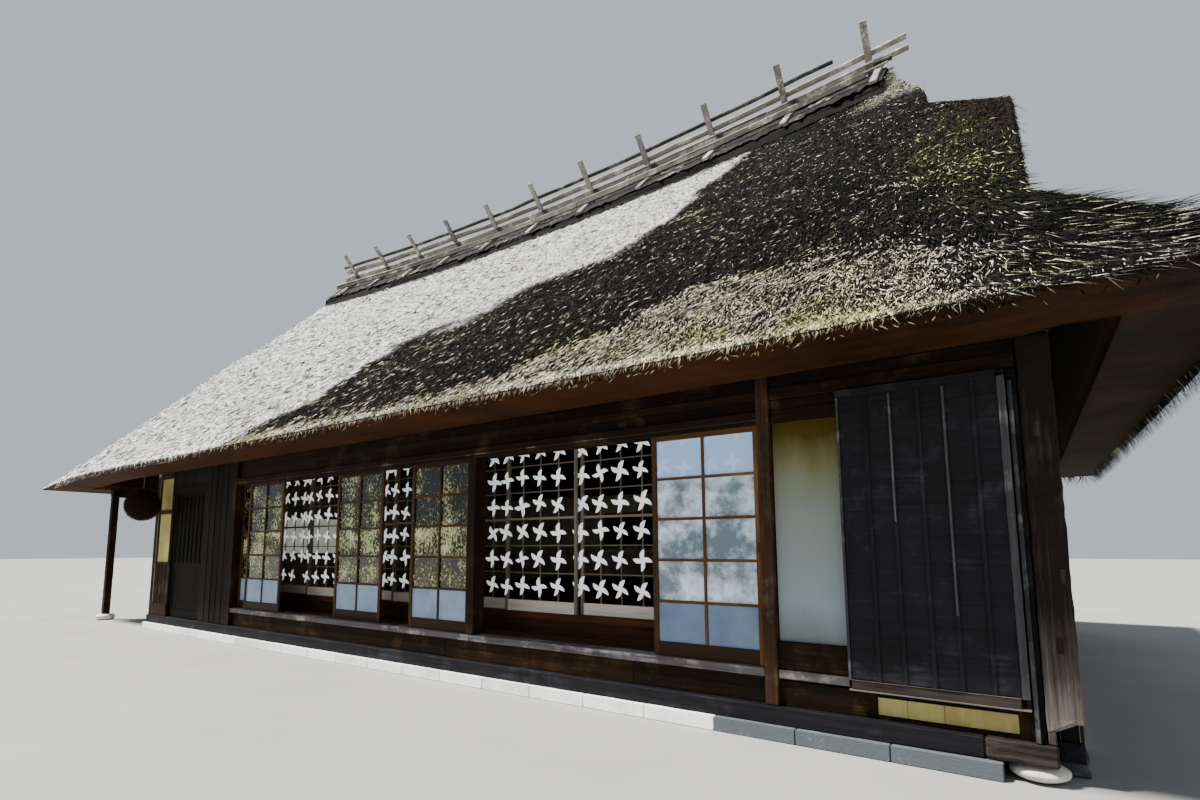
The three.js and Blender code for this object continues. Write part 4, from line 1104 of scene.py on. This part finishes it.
def shutter_box():
    """Boarded box for the night shutters: lapped boards behind upright battens, in a weathered frame."""
    (x0, y0, z0), (x1, y1, z1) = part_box("shutter_box")
    rows, low, high, wall = 10, 0.462, 2.318, 0.022
    pile = Pile(*SHUTTER_WOOD)
    for k in range(rows):
        a, b = (low + (high - low) * n / rows for n in (k, k + 1))
        points = bar(pile, (x0 + 0.018, y0 + 0.010, a + 0.0015), (6.694, y0 + 0.024, b + 0.006),
                     0.003, 12, 0.0015, 0.40 + 0.04 * (k % 3), X, k)
        points[:, Y] += 0.006 * (points[:, Z] - a) / (b - a)
    bar(pile, (x0, y0 + 0.03, z1 - wall), (x1, y1, z1), tone=0.3)
    bar(pile, (x0, y0 + 0.03, z0), (x1, y1, z0 + wall), tone=0.3)
    bar(pile, (x0 + 0.001, y1 - 0.020, z0 + 0.0225), (x1 - 0.023, y1, z1 - 0.0225), tone=0.2, slot=X)
    bar(pile, (x1 - wall, y0 + 0.03, z0 + 0.0225), (x1, y1, z1 - 0.0225), tone=0.3)
    bar(pile, (x0, y0 + 0.001, high), (x1 - 0.045, y0 + 0.029, z1), 0.004, 6, 0.002, 0.4)
    for x in (5.964, 6.110, 6.272, 6.413, 6.569):
        bar(pile, (x - 0.011, y0 + 0.001, low), (x + 0.011, y0 + 0.0115, high), 0.002, 14, 0.001, 0.45)
    pile.piece("shutter_boards", "dark_wood", ("shutter_box",))
    timber("shutter_edges", STRIP_WOOD, (
        *(((x - 0.0075, y0, foot), (x + 0.0055, y0 + 0.0045, high - 0.01), 0.0015, 16, 0.001, 0.7)
          for x, foot in ((6.110, 1.47), (6.413, 0.90))),
        ((x0, y0 + 0.0005, 0.455), (x0 + 0.017, y0 + 0.028, high), 0.003, 12, 0.002, 0.12),
        ((x1 - 0.043, y0 + 0.0005, 0.455), (x1, y0 + 0.028, z1 - 0.04), 0.004, 30, 0.004, 0.3)), "weathered_wood")
    timber("shutter_sill", POST_WOOD, (
        ((x0 + 0.018, y0 + 0.002, 0.402), (x1 - 0.045, y0 + 0.028, 0.455), 0.004, 10, 0.003, 0.2),
        ((x0 + 0.001, y0 + 0.001, 0.391), (x1 - 0.001, y0 + 0.029, 0.401), 0.002, 10, 0.001, 1.1),
        ((x0 + 0.0175, y0 + 0.0005, 0.4555), (x1 - 0.044, y0 + 0.0095, 0.4615), 0.001, 10, 0.001, 1.0)),
        "weathered_wood")
    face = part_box("wall_front_right")[0].y
    timber("corner_batten", STRIP_WOOD, (
        ((6.742, face - 0.070, 0.222), (6.766, face - 0.048, 0.78), 0.003, 10, 0.002, 0.35),
        ((6.742, face - 0.068, 0.781), (6.766, face - 0.048, 2.30), 0.003, 14, 0.002, 0.0)), "weathered_wood")
    (x0, y0, _), (x1, _, _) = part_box("wall_right")
    # Dark boards at the corner; the low one on the end of the right wall is a sheet of painted shade.
    timber("corner_board", BLACK_WOOD, (
        ((x0 + 0.002, y0 - 0.008, 0.2215), (x1 - 0.002, y0 - SEAT, 0.40), 0.002, 1, 0, 0.1),
        ((6.737, face - 0.046, 0.222), (6.79, face - SEAT, 2.37), 0.002, 1, 0, 0.3)))


def right_front():
    corner_post()
    wall_panel()
    shutter_box()
    hewn("jamb_post", OLD_WOOD, 0.006, 24, 0.003, 0.9)
    hewn("door_post_left", SMOKED_WOOD, 0.006, 24, 0.003, 0.5)
    hewn("bay_post", SMOKED_WOOD, 0.005, 18, 0.002, 0.6)


# Door track and head, and the dark wall over the doors
TRACK_TOP = 0.464
TRACK_CUT = 2.30
RAIL_HIGH = 0.0046


def track_and_head():
    (x0, y0, _), (x1, y1, _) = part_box("door_track")
    timber("worn_track", TRACK_WOOD, (
        *(((a, y0, TRACK_TOP - 0.060), (b, y1, TRACK_TOP - 0.0002), 0.005, 30, 0.003, 0.5)
          for a, b in ((x0, TRACK_CUT), (TRACK_CUT + 0.002, x1))),
        *(((a, y - 0.003, TRACK_TOP - 0.003), (b, y + 0.003, TRACK_TOP + RAIL_HIGH), 0.0012, 1, 0, 0.9)
          for y in (-4.0585, -3.9985) for a, b in ((x0, 2.2457), (2.3463, x1)))), "weathered_wood", ("door_track",))
    timber("track_riser", SMOKED_WOOD, [
        ((a, -4.070, 0.2205), (b, -4.040, TRACK_TOP - 0.061), 0.003, 6, 0.002, None, X)
        for a, b in spans(x0, x1, 7, 0.0015)], "brown_wood")
    (x0, y0, z0), (x1, y1, z1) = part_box("door_head")
    timber("channel_head", SMOKED_WOOD, (
        ((x0, y0 + 0.004, z0 + 0.022), (x1, y1, z1), 0.004, 30, 0.0, 0.5),
        *(((x0, a, z0), (x1, b, z0 + 0.0225), 0.002, 1, 0, 0.5)
          for a, b in ((y0 + 0.004, -4.081), (-4.036, -4.021), (-3.976, y1)))), replaces=("door_head",))
    timber("head_bead", TRACK_WOOD, [((x0, y0, z0 + 0.030), (x1, y0 + 0.004, z0 + 0.040), 0.001, 40, 0.0008, -0.6)],
           "weathered_wood")
    (x0, y0, z0), (x1, y1, z1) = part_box("wall_over_doors")
    timber("boards_over_doors", SMOKED_WOOD, (
        *(((a, y0 + 0.012, z0), (b, y1, z1), 0.003, 4, 0.002, None, X) for a, b in spans(x0, x1, 4)),
        ((x0, y0, z0 + 0.10), (x1, y0 + 0.0115, z0 + 0.16), 0.003, 30, 0.002, 0.6)), replaces=("wall_over_doors",))


# Glazed doors: two by five lights, the lowest pair frosted; the last door's panes carry a painted reflection of the
# sky, the others one of leaves
LAP = 0.0005    # how far a rail or bar runs into its neighbour
STILE = 0.042
LOW_RAIL = 0.105
TOP_RAIL = 0.050
GLAZING = 0.022
DOOR_ROWS = 5
DOORS = 5
GRIP_UP = 0.80


def glazed_door(index):
    name = "door_%d" % index
    lo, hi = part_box(name + "_frame")
    (x0, y0, z0), (x1, y1, z1) = lo, hi
    bottom, top, left, right = z0 + LOW_RAIL, z1 - TOP_RAIL, x0 + STILE, x1 - STILE
    middle = (x0 + x1) / 2
    pane = (top - bottom - (DOOR_ROWS - 1) * GLAZING) / DOOR_ROWS
    last = index == DOORS
    # The last door's frame and bars are lighter: painted light on the lit door.
    painted_light_tone = 0.6 if last else 0.0
    rows = [(lo, (left, y1, z1), 0.004, 8, 0.0008, 0.1, None, index),
            ((right, y0, z0), hi, 0.004, 8, 0.0008, painted_light_tone + 0.1, None, index),
            ((left - LAP, y0 + 0.001, z0 + 0.0003), (right + LAP, y1 - 0.001, bottom), 0.004, 4, 0.0005, -0.9),
            ((left - LAP, y0 + 0.001, top), (right + LAP, y1 - 0.001, z1 - 0.0003), 0.003, 4, 0.0005, painted_light_tone - 0.3)]
    for k in range(DOOR_ROWS):
        z = bottom + k * (pane + GLAZING)
        rows.append(((middle - GLAZING / 2, y0 + 0.002, z - LAP), (middle + GLAZING / 2, y0 + 0.018, z + pane + LAP),
                     0.004, 1, 0, painted_light_tone))
        if k:
            rows.append(((left - LAP, y0 + 0.002, z - GLAZING), (right + LAP, y0 + 0.018, z), 0.004, 1, 0, painted_light_tone))
    grip = z0 + GRIP_UP
    for x in (x0 + 0.012, x1 - 0.030):
        rows.append(((x, y0 - 0.0005, grip), (x + 0.018, y0 + 0.004, grip + 0.075), 0.002, 1, 0, 0.0))
    timber(name + "_wood", DOOR_WOOD, rows, "brown_wood", (name + "_frame",), name)
    rows = [((a + LAP, y0 + 0.0135, bottom + LAP), (b - LAP, y0 + 0.0165, bottom + pane - LAP), 0.001)
            for a, b in ((left, middle - GLAZING / 2), (middle + GLAZING / 2, right))]
    timber(name + "_frosted", (FROSTED if last else FROSTED_PALE,), rows, "glass", body=name)
    dress(name + "_glass", SKY_REFLECTION_GLASS if last else LEAF_REFLECTION_GLASS)


# Lattice panels with paper pinwheels tied to their upright bars
PANELS = 8
LATTICE = 0.012
LATTICE_STILE = 0.033
SKIRT_BOARD = 0.115
LATTICE_STEP = 0.283
LATTICE_ROWS = 5
PINWHEEL = 0.106
PAPER_THICK = 0.0012
# A blade's outline: share of the reach, degrees round the centre, and how far it is folded forward
BLADE = ((0.24, -26, 0.0), (0.54, -12, 0.1), (1.0, -3, 0.2), (0.87, 10, 0.4), (0.64, 29, 0.6), (0.38, 50, 0.2))


def pinwheel(pile, centre, draw):
    """Four folded blades that swirl round a centre, as one thin closed form."""
    turn = draw.normal(-0.32, 0.22)
    size = PINWHEEL * draw.uniform(0.86, 1.06)
    points = []
    for thick in (0.0, PAPER_THICK):
        for k in range(4):
            for reach, angle, fold in BLADE:
                a = math.radians(angle + 90 * k) + turn
                points.append((centre[X] + size * reach * math.cos(a),
                               centre[Y] + thick - 0.012 * fold - 0.004 * (1 - reach),
                               centre[Z] + size * reach * math.sin(a)))
    around = 4 * len(BLADE)
    points += [(centre[X], centre[Y] - 0.007 + thick, centre[Z]) for thick in (0.0, PAPER_THICK)]
    faces = []
    for k in range(around):
        n = (k + 1) % around
        faces += [(k, n, 2 * around), (around + n, around + k, 2 * around + 1), (n, k, around + k, around + n)]
    pile.add(points, faces, draw.random())


def lattice_panel(index):
    name, body = "lattice_panel_%d" % index, "lattice_%d" % index
    lo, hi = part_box(name)
    (x0, y0, z0), (x1, y1, z1) = lo, hi
    left, right, foot = x0 + LATTICE_STILE, x1 - LATTICE_STILE, z0 + SKIRT_BOARD
    near, far = y0 + 0.007, y0 + 0.021
    levels = [foot + k * LATTICE_STEP for k in range(1, LATTICE_ROWS + 1)]
    uprights = [x0 + (x1 - x0) * k / 4 for k in range(1, 4)]
    rows = [(lo, (left, y1, z1), 0.003, 8, 0.0006, 0.6, None, index),
            ((right, y0, z0), hi, 0.003, 8, 0.0006, 0.6, None, index),
            ((left - LAP, y0 + 0.001, z1 - 0.040), (right + LAP, y1 - 0.001, z1 - 0.0003), 0.003, 1, 0, 0.5)]
    for k, z in enumerate(levels):
        half, tone = (LATTICE, 0.8) if k == 2 else (LATTICE / 2, 0.4)
        rows.append(((left - LAP, near, z - half), (right + LAP, far, z + half), 0.002, 1, 0, tone))
    for x in uprights:
        rows.append(((x - LATTICE / 2, near + 0.001, foot - LAP), (x + LATTICE / 2, far - 0.001, z1 - 0.0395),
                     0.002, 1, 0, 0.5))
    timber(body + "_wood", LATTICE_WOOD, rows, "weathered_wood", (name,), body)
    timber(body + "_skirting", SKIRT_WOOD, [((left - LAP, y0 + 0.004, z0 + 0.0003), (right + LAP, y1 - 0.004, foot),
                                             0.002, 4, 0.0005, 1.6)], "weathered_wood", body=body)
    draw = dice(body)
    wheels = Pile(PINWHEEL_PAPER)
    heights = [z - LATTICE_STEP / 2 for z in levels] + [levels[-1] + 0.14]
    for x in [x0 + LATTICE_STILE / 2, *uprights]:
        for k, z in enumerate(heights):
            if draw.random() < 0.03:
                continue
            sway = draw.normal(0, 0.008, 2)
            forward = (y0 if x < left else near) - 0.0035
            pinwheel(wheels, (x + sway[0], forward, z + sway[1] - (0.01 if k == LATTICE_ROWS else 0)), draw)
    wheels.piece(body + "_pinwheels", "plaster", body=body)


# Floors, inner sill and inner head
INNER_TOP = 0.645


def floor_boards(name, node, width):
    """A floor laid in boards, side by side, with staggered ends."""
    lo, hi = corners(node)
    pile = Pile(*FLOOR_WOOD)
    draw = dice(name)
    count = max(round((hi[Y] - lo[Y]) / width), 1)
    for k in range(count):
        a, b = (lo[Y] + (hi[Y] - lo[Y]) * n / count for n in (k, k + 1))
        at = lo[X]
        while at < hi[X] - 0.05:
            far = min(at + draw.uniform(2.6, 4.2), hi[X])
            if hi[X] - far < 0.5:
                far = hi[X]
            bar(pile, (at + 0.0006, a + 0.0008, lo[Z]), (far - 0.0006, b - 0.0008, hi[Z]), 0.002, 3, 0.0006)
            at = far
    pile.piece(name, "floor_wood", (node,))


def inside():
    floor_boards("veranda_boards", "veranda_floor", 0.11)
    floor_boards("room_boards", "room_floor", 0.24)
    (x0, y0, z0), (x1, y1, _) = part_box("inner_track")
    timber("inner_sill", SILL_WOOD, (
        ((x0, y0, INNER_TOP - 0.060), (x1, y1, INNER_TOP), 0.004, 30, 0.0, 0.6),
        ((x0, y0 + 0.012, z0), (x1, y1, INNER_TOP - 0.0605), 0.003, 20, 0.001, 0.15),
        *(((-2.443, y - 0.003, INNER_TOP - 0.002), (5.04, y + 0.003, INNER_TOP + RAIL_HIGH), 0.001, 1, 0, 0.8)
          for y in (-3.461, -3.401))), "brown_wood", ("inner_track",))
    (x0, y0, z0), (x1, y1, z1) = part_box("inner_head")
    timber("inner_channels", OLD_WOOD, (
        ((x0, y0, z0 + 0.022), (x1, y1, z1), 0.003, 20, 0.0, 0.4),
        *(((x0, a, z0), (x1, b, z0 + 0.0225), 0.002, 1, 0, 0.5)
          for a, b in ((y0, -3.481), (-3.441, -3.421), (-3.381, y1)))), "brown_wood", ("inner_head",))


# Front wall, left part: boards, entrance door and plaster bay
WALL_LO, WALL_HI = 0.2203, 2.5597
BOARDS_FROM = -3.392


def left_boards():
    (x0, y0, z0), (x1, y1, z1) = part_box("boarded_wall_left")
    timber("left_boards", ENTRY_WOOD, (
        *(((a, y0 + 0.006, z0), (b, y1, z1), 0.003, 10, 0.002) for a, b in spans(BOARDS_FROM, x1, 5)),
        *(((x - 0.014, y0, z0), (x + 0.014, y0 + 0.0055, z1), 0.002, 10, 0.001, 0.5)
          for x in np.linspace(BOARDS_FROM, x1, 6)[1:-1]),
        ((x0, y0 + 0.004, 2.19), (BOARDS_FROM - 0.001, y1, 2.30), 0.004, 6, 0.002, 0.4),
        *(((a, y0 + 0.010, 2.302), (b - 0.002, y1, z1), 0.003, 3, 0.001, None, X)
          for a, b in spans(x0, BOARDS_FROM, 3))), replaces=("boarded_wall_left",))


def entrance_door():
    lo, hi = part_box("entry_door")
    (x0, y0, z0), (x1, y1, z1) = lo, hi
    fields = ((z0 + 0.121, z0 + 0.779), (z0 + 0.861, z1 - 0.091))
    timber("entrance_boards", ENTRY_WOOD, (
        ((x0, y0 + 0.002, z0), (x0 + 0.06, y1, z1), 0.003, 8, 0.001, 0.6),
        ((x1 - 0.06, y0 + 0.002, z0), hi, 0.003, 8, 0.001, 0.6),
        *(((x0 + 0.0605, y0 + 0.003, a), (x1 - 0.0605, y1 - 0.001, b), 0.003, 4, 0.001, 0.5)
          for a, b in ((z0, z0 + 0.12), (z0 + 0.78, z0 + 0.86), (z1 - 0.09, z1))),
        *(((a, y0 + 0.014, low), (b, y1 - 0.006, high), 0.002, 4, 0.0006)
          for low, high in fields for a, b in spans(x0 + 0.061, x1 - 0.061, 7)),
        *(((x - 0.010, y0, z0 + 0.861), (x + 0.010, y0 + 0.0135, z1 - 0.091), 0.002, 6, 0.0005, 0.7)
          for x in np.linspace(x0 + 0.061, x1 - 0.061, 8)[1:-1]),
        ((x1 - 0.045, y0 + 0.0005, z0 + 0.88), (x1 - 0.02, y0 + 0.004, z0 + 0.99), 0.002, 1, 0, 0.0)),
        replaces=("entry_door",), body="entry_door")


def plaster_bay():
    """Cream plaster over a boarded foot, between the corner and the entrance."""
    (x0, face, z0), (x1, _, z1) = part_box("wall_front_left")
    dress("wall_front_left", bay_plaster(x1))
    (end_x0, end_y, _), (end_x1, _, _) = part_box("wall_left")
    foot, rail = 0.4205, 1.0455
    pile = Pile(*OLD_WOOD)
    lay = on_wall(pile, X, face, -1)
    bar(pile, (end_x0 + 0.002, end_y - 0.008, WALL_LO), (end_x1 - 0.002, end_y - SEAT, 2.50), 0.002, 8, 0.001, 0.3)
    for low, high, out, tone in ((1.866, 1.93, 0.018, 0.5), (1.046, 1.082, 0.019, 0.7),
                                 (2.45, z1, 0.019, 0.3), (z0, 0.42, 0.019, 0.3)):
        lay(x0, x1, low, high, out, 0.004, 3, 0.001, tone)
    for a, b in spans(x0, x1, 4):
        lay(a, b, foot, rail, 0.010, 0.002, 3, 0.0008)
    for x in (x0 + 0.01, x1 - 0.045):
        for low, high in ((1.0825, 1.8655), (1.9305, 2.4495)):
            lay(x, x + 0.035, low, high, 0.0195, 0.003, 3, 0.001, 0.5)
    for x in np.linspace(x0, x1, 5)[1:-1]:
        lay(x - 0.013, x + 0.013, foot, rail, 0.017, 0.002, 3, 0.0005, 0.6, under=0.0105)
    pile.piece("plaster_bay_timbers", "dark_wood")


# Plain walls: plaster between posts and rails over a boarded foot, and windows with paper screens
RAIL_Z = 1.06
TIMBER_OUT = 0.019
BAY = 1.82


def timbered_wall(name, axis, side, windows, screen=(SCREEN_PAPER,)):
    """Timbers, foot boards and windows on the outer face of a wall; windows are (from, to, low, high)."""
    lo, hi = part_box(name)
    start, end = lo[axis], hi[axis]
    face = (hi if side > 0 else lo)[1 - axis]
    dress(name, WALL)
    pile = Pile(*OLD_WOOD)
    lay = on_wall(pile, axis, face, side)
    posts = np.linspace(start + 0.06, end - 0.06, max(round((end - start) / BAY), 1) + 1)
    for at in posts:
        parts = [(WALL_LO, WALL_HI, 12)]
        if any(a - 0.09 < at < b + 0.09 for a, b, _, _ in windows):
            parts = [(WALL_LO, windows[0][2] - 0.062, 8), (windows[0][3] + 0.062, WALL_HI, 3)]
        for low, high, count in parts:
            lay(at - 0.06, at + 0.06, low, high, TIMBER_OUT, parts=count, rough=0.002)
    bays = [(a + 0.061, b - 0.061) for a, b in zip(posts, posts[1:])]
    for z, high in ((WALL_LO, 0.07), (RAIL_Z, 0.05), (2.28, 0.06)):
        for a, b in bays:
            lay(a, b, z, z + high, TIMBER_OUT * 0.7, parts=4, rough=0.001)
    for bay in bays:
        for a, b in spans(*bay, 8):
            lay(a, b, WALL_LO + 0.071, RAIL_Z - 0.001, TIMBER_OUT * 0.4, parts=3, rough=0.0006)
    for a, b, low, high in windows:
        for z in (low - 0.06, high):
            lay(a - 0.06, b + 0.06, z, z + 0.06, TIMBER_OUT, parts=4, rough=0.001, tone=0.6, under=0.001)
        for at in (a - 0.05, b):
            lay(at, at + 0.05, low, high, TIMBER_OUT, parts=3, rough=0.001, tone=0.6, under=0.001)
    pile.piece("timbers_" + name, "dark_wood")
    for k, opening in enumerate(windows):
        window(name + "_window_%d" % (k + 1), axis, face, side, *opening, screen)


def window(name, axis, face, side, a, b, low, high, screen):
    """Two sashes with thin bars in front of paper or a dark board, set inside the wall."""
    bars, sheets = Pile(*LATTICE_WOOD), Pile(*screen)
    lay, lay_sheet = (on_wall(pile, axis, face, -side) for pile in (bars, sheets))
    middle = (a + b) / 2
    foot, head = low + 0.0605, high - 0.0405
    for k, (c, d) in enumerate(((a + 0.001, middle + 0.02), (middle - 0.02, b - 0.001))):
        near, far = 0.012 + 0.034 * k, 0.040 + 0.034 * k
        for z0, z1 in ((low + 0.001, low + 0.06), (high - 0.04, high - 0.001)):
            lay(c, d, z0, z1, far, 0.002, tone=0.5, under=near)
        for at in (c, d - 0.035):
            lay(at, at + 0.035, foot, head, far - 0.0003, 0.002, tone=0.6, under=near + 0.0003)
        for j in range(1, 4):
            at = c + 0.035 + (d - c - 0.07) * j / 4
            lay(at - 0.006, at + 0.006, foot, head, near + 0.014, 0.001, tone=0.4, under=near + 0.004)
        for j in range(1, 5):
            z = low + 0.06 + (high - low - 0.10) * j / 5
            lay(c + 0.0355, d - 0.0355, z - 0.005, z + 0.005, near + 0.0125, 0.001, tone=0.4, under=near + 0.003)
        lay_sheet(c + 0.0355, d - 0.0355, foot, head, near + 0.0160, 0.0005, slot=0, tone=0.5, under=near + 0.0145)
    bars.piece(name + "_bars", "weathered_wood")
    sheets.piece(name + "_paper", "plaster")


def walls():
    timbered_wall("wall_back", X, 1, [(-1.4, 0.4, 1.25, 2.15), (2.6, 4.4, 1.25, 2.15)], BLACK_WOOD)
    (x0, y0, _), (x1, y1, _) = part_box("wall_back")
    timber("corner_boards_back", OLD_WOOD, [
        ((x + side * 0.0005, y0 - 0.02, WALL_LO), (x + side * 0.019, y1 + 0.001, WALL_HI), 0.003, 12, 0.002, 0.5)
        for x, side in ((x0, -1), (x1, 1))])
    timbered_wall("wall_right", Y, 1, [(-0.9, 0.9, 1.25, 2.15)])
    timbered_wall("wall_left", Y, -1, [(-2.0, -0.7, 1.15, 1.95)])
    for name in ("eave_plate_front", "eave_plate_back", "eave_plate_right", "porch_plate"):
        hewn(name, SMOKED_WOOD, 0.008, 40, 0.004, 0.4)


# Porch posts on round stones, and the ball of cedar leaves
POST_HALF = 0.055
STONE_RADIUS = 0.158
STONE_HALF = 0.05
LEAVES = 4200
CORD_RINGS = 30


def porch():
    for place in ("front", "middle", "back"):
        name = "porch_post_" + place
        lo, hi = corners(name)
        centre = (lo + hi) / 2
        x, y = centre[X], centre[Y]
        post = ((x - POST_HALF, y - POST_HALF, 0.098), (x + POST_HALF, y + POST_HALF, hi[Z]), 0.012, 26, 0.004, 0.5)
        timber("hewn_" + name, SMOKED_WOOD, [post], replaces=(name,))

        def shape(co):
            reach = STONE_RADIUS * (0.95 + 0.05 * noise.noise(co * 1.7 + Vector(centre)))
            return (x + co.x * reach, y + co.y * reach, STONE_HALF * (1 + max(min(co.z * 1.6, 1), -1)))
        placed(ball("stone_" + place, 3, shape), "stone_" + place, HOUSE, "stone", [BOULDER])


def cedar_ball():
    """Dry brown cedar leaves, packed into a ball on a cord."""
    lo, hi = corners("cedar_ball")
    radius = (hi[X] - lo[X]) / 2
    centre = np.array([(lo[X] + hi[X]) / 2, (lo[Y] + hi[Y]) / 2, lo[Z] + radius])
    leaf = Paint("cedar_leaves", 0.9)
    grain = leaf.cloud(60.0, 4.0, 0.7)
    leaf.relief(grain, 0.8, 0.01)
    value = leaf.sum((grain, 0.6), (leaf.value("tone"), 0.5), -0.1)
    material = leaf.finish(leaf.ramp(value, (0.2, (16, 10, 4)), (0.8, (88, 56, 26))))

    def shape(co):
        return Vector(centre) + co * radius * (0.90 + 0.03 * noise.noise(co * 7))
    placed(ball("cedar_core", 5, shape, False), "cedar_core", HOUSE, "cedar_leaf", [material], ("cedar_ball",))
    draw = dice("cedar")
    out = draw.normal(0, 1, (LEAVES, 3))
    out /= np.linalg.norm(out, axis=1)[:, None]
    along = out * 0.62 + draw.normal(0, 0.3, (LEAVES, 3)) + np.array([0, 0, -0.35])
    along /= np.linalg.norm(along, axis=1)[:, None]
    tone = draw.random(LEAVES)
    length, width = draw.uniform(0.02, 0.045, LEAVES), draw.uniform(0.002, 0.005, LEAVES)
    spikes("cedar_tips", centre + out * radius * 0.88, along, out, length, width, material, "cedar_leaf",
           (centre - radius + 0.001, centre + radius - 0.001), tone=tone)
    rope = Pile(*TRACK_WOOD)
    start = centre[Z] + radius * 0.88
    points = []
    for i in range(CORD_RINGS):
        z = start + (hi[Z] - start) * i / (CORD_RINGS - 1)
        thick, thin = (ring(centre[X], centre[Y], r, i * 0.5) for r in (0.011, 0.009))
        points += [(*(thin[k] if k % 4 else thick[k]), z) for k in range(RING)]
    rope.add(points, tube_faces(CORD_RINGS), 0.6, Z)
    rope.piece("cedar_cord", "cedar_leaf")


def floor():
    p = Paint("pale_floor", 0.95)
    material = p.finish(p.ramp(p.cloud(0.6, 3.0), (0.3, (136, 136, 134)), (0.7, (145, 145, 142))))
    size = 95
    mesh = bpy.data.meshes.new("studio_floor")
    mesh.from_pydata([(-size, -size, 0), (size, -size, 0), (size, size, 0), (-size, size, 0)], [], [(0, 1, 2, 3)])
    mesh.materials.append(material)
    ground_plane = linked("studio_floor", mesh)
    ground_plane.location.z = -0.002


floor()
roof()
ridge_straw()
bark_sheets()
ridge_ends()
ridge_frame()
gable_walls()
ground()
right_front()
track_and_head()
for number in range(1, DOORS + 1):
    glazed_door(number)
for number in range(1, PANELS + 1):
    lattice_panel(number)
inside()
left_boards()
entrance_door()
plaster_bay()
walls()
porch()
cedar_ball()
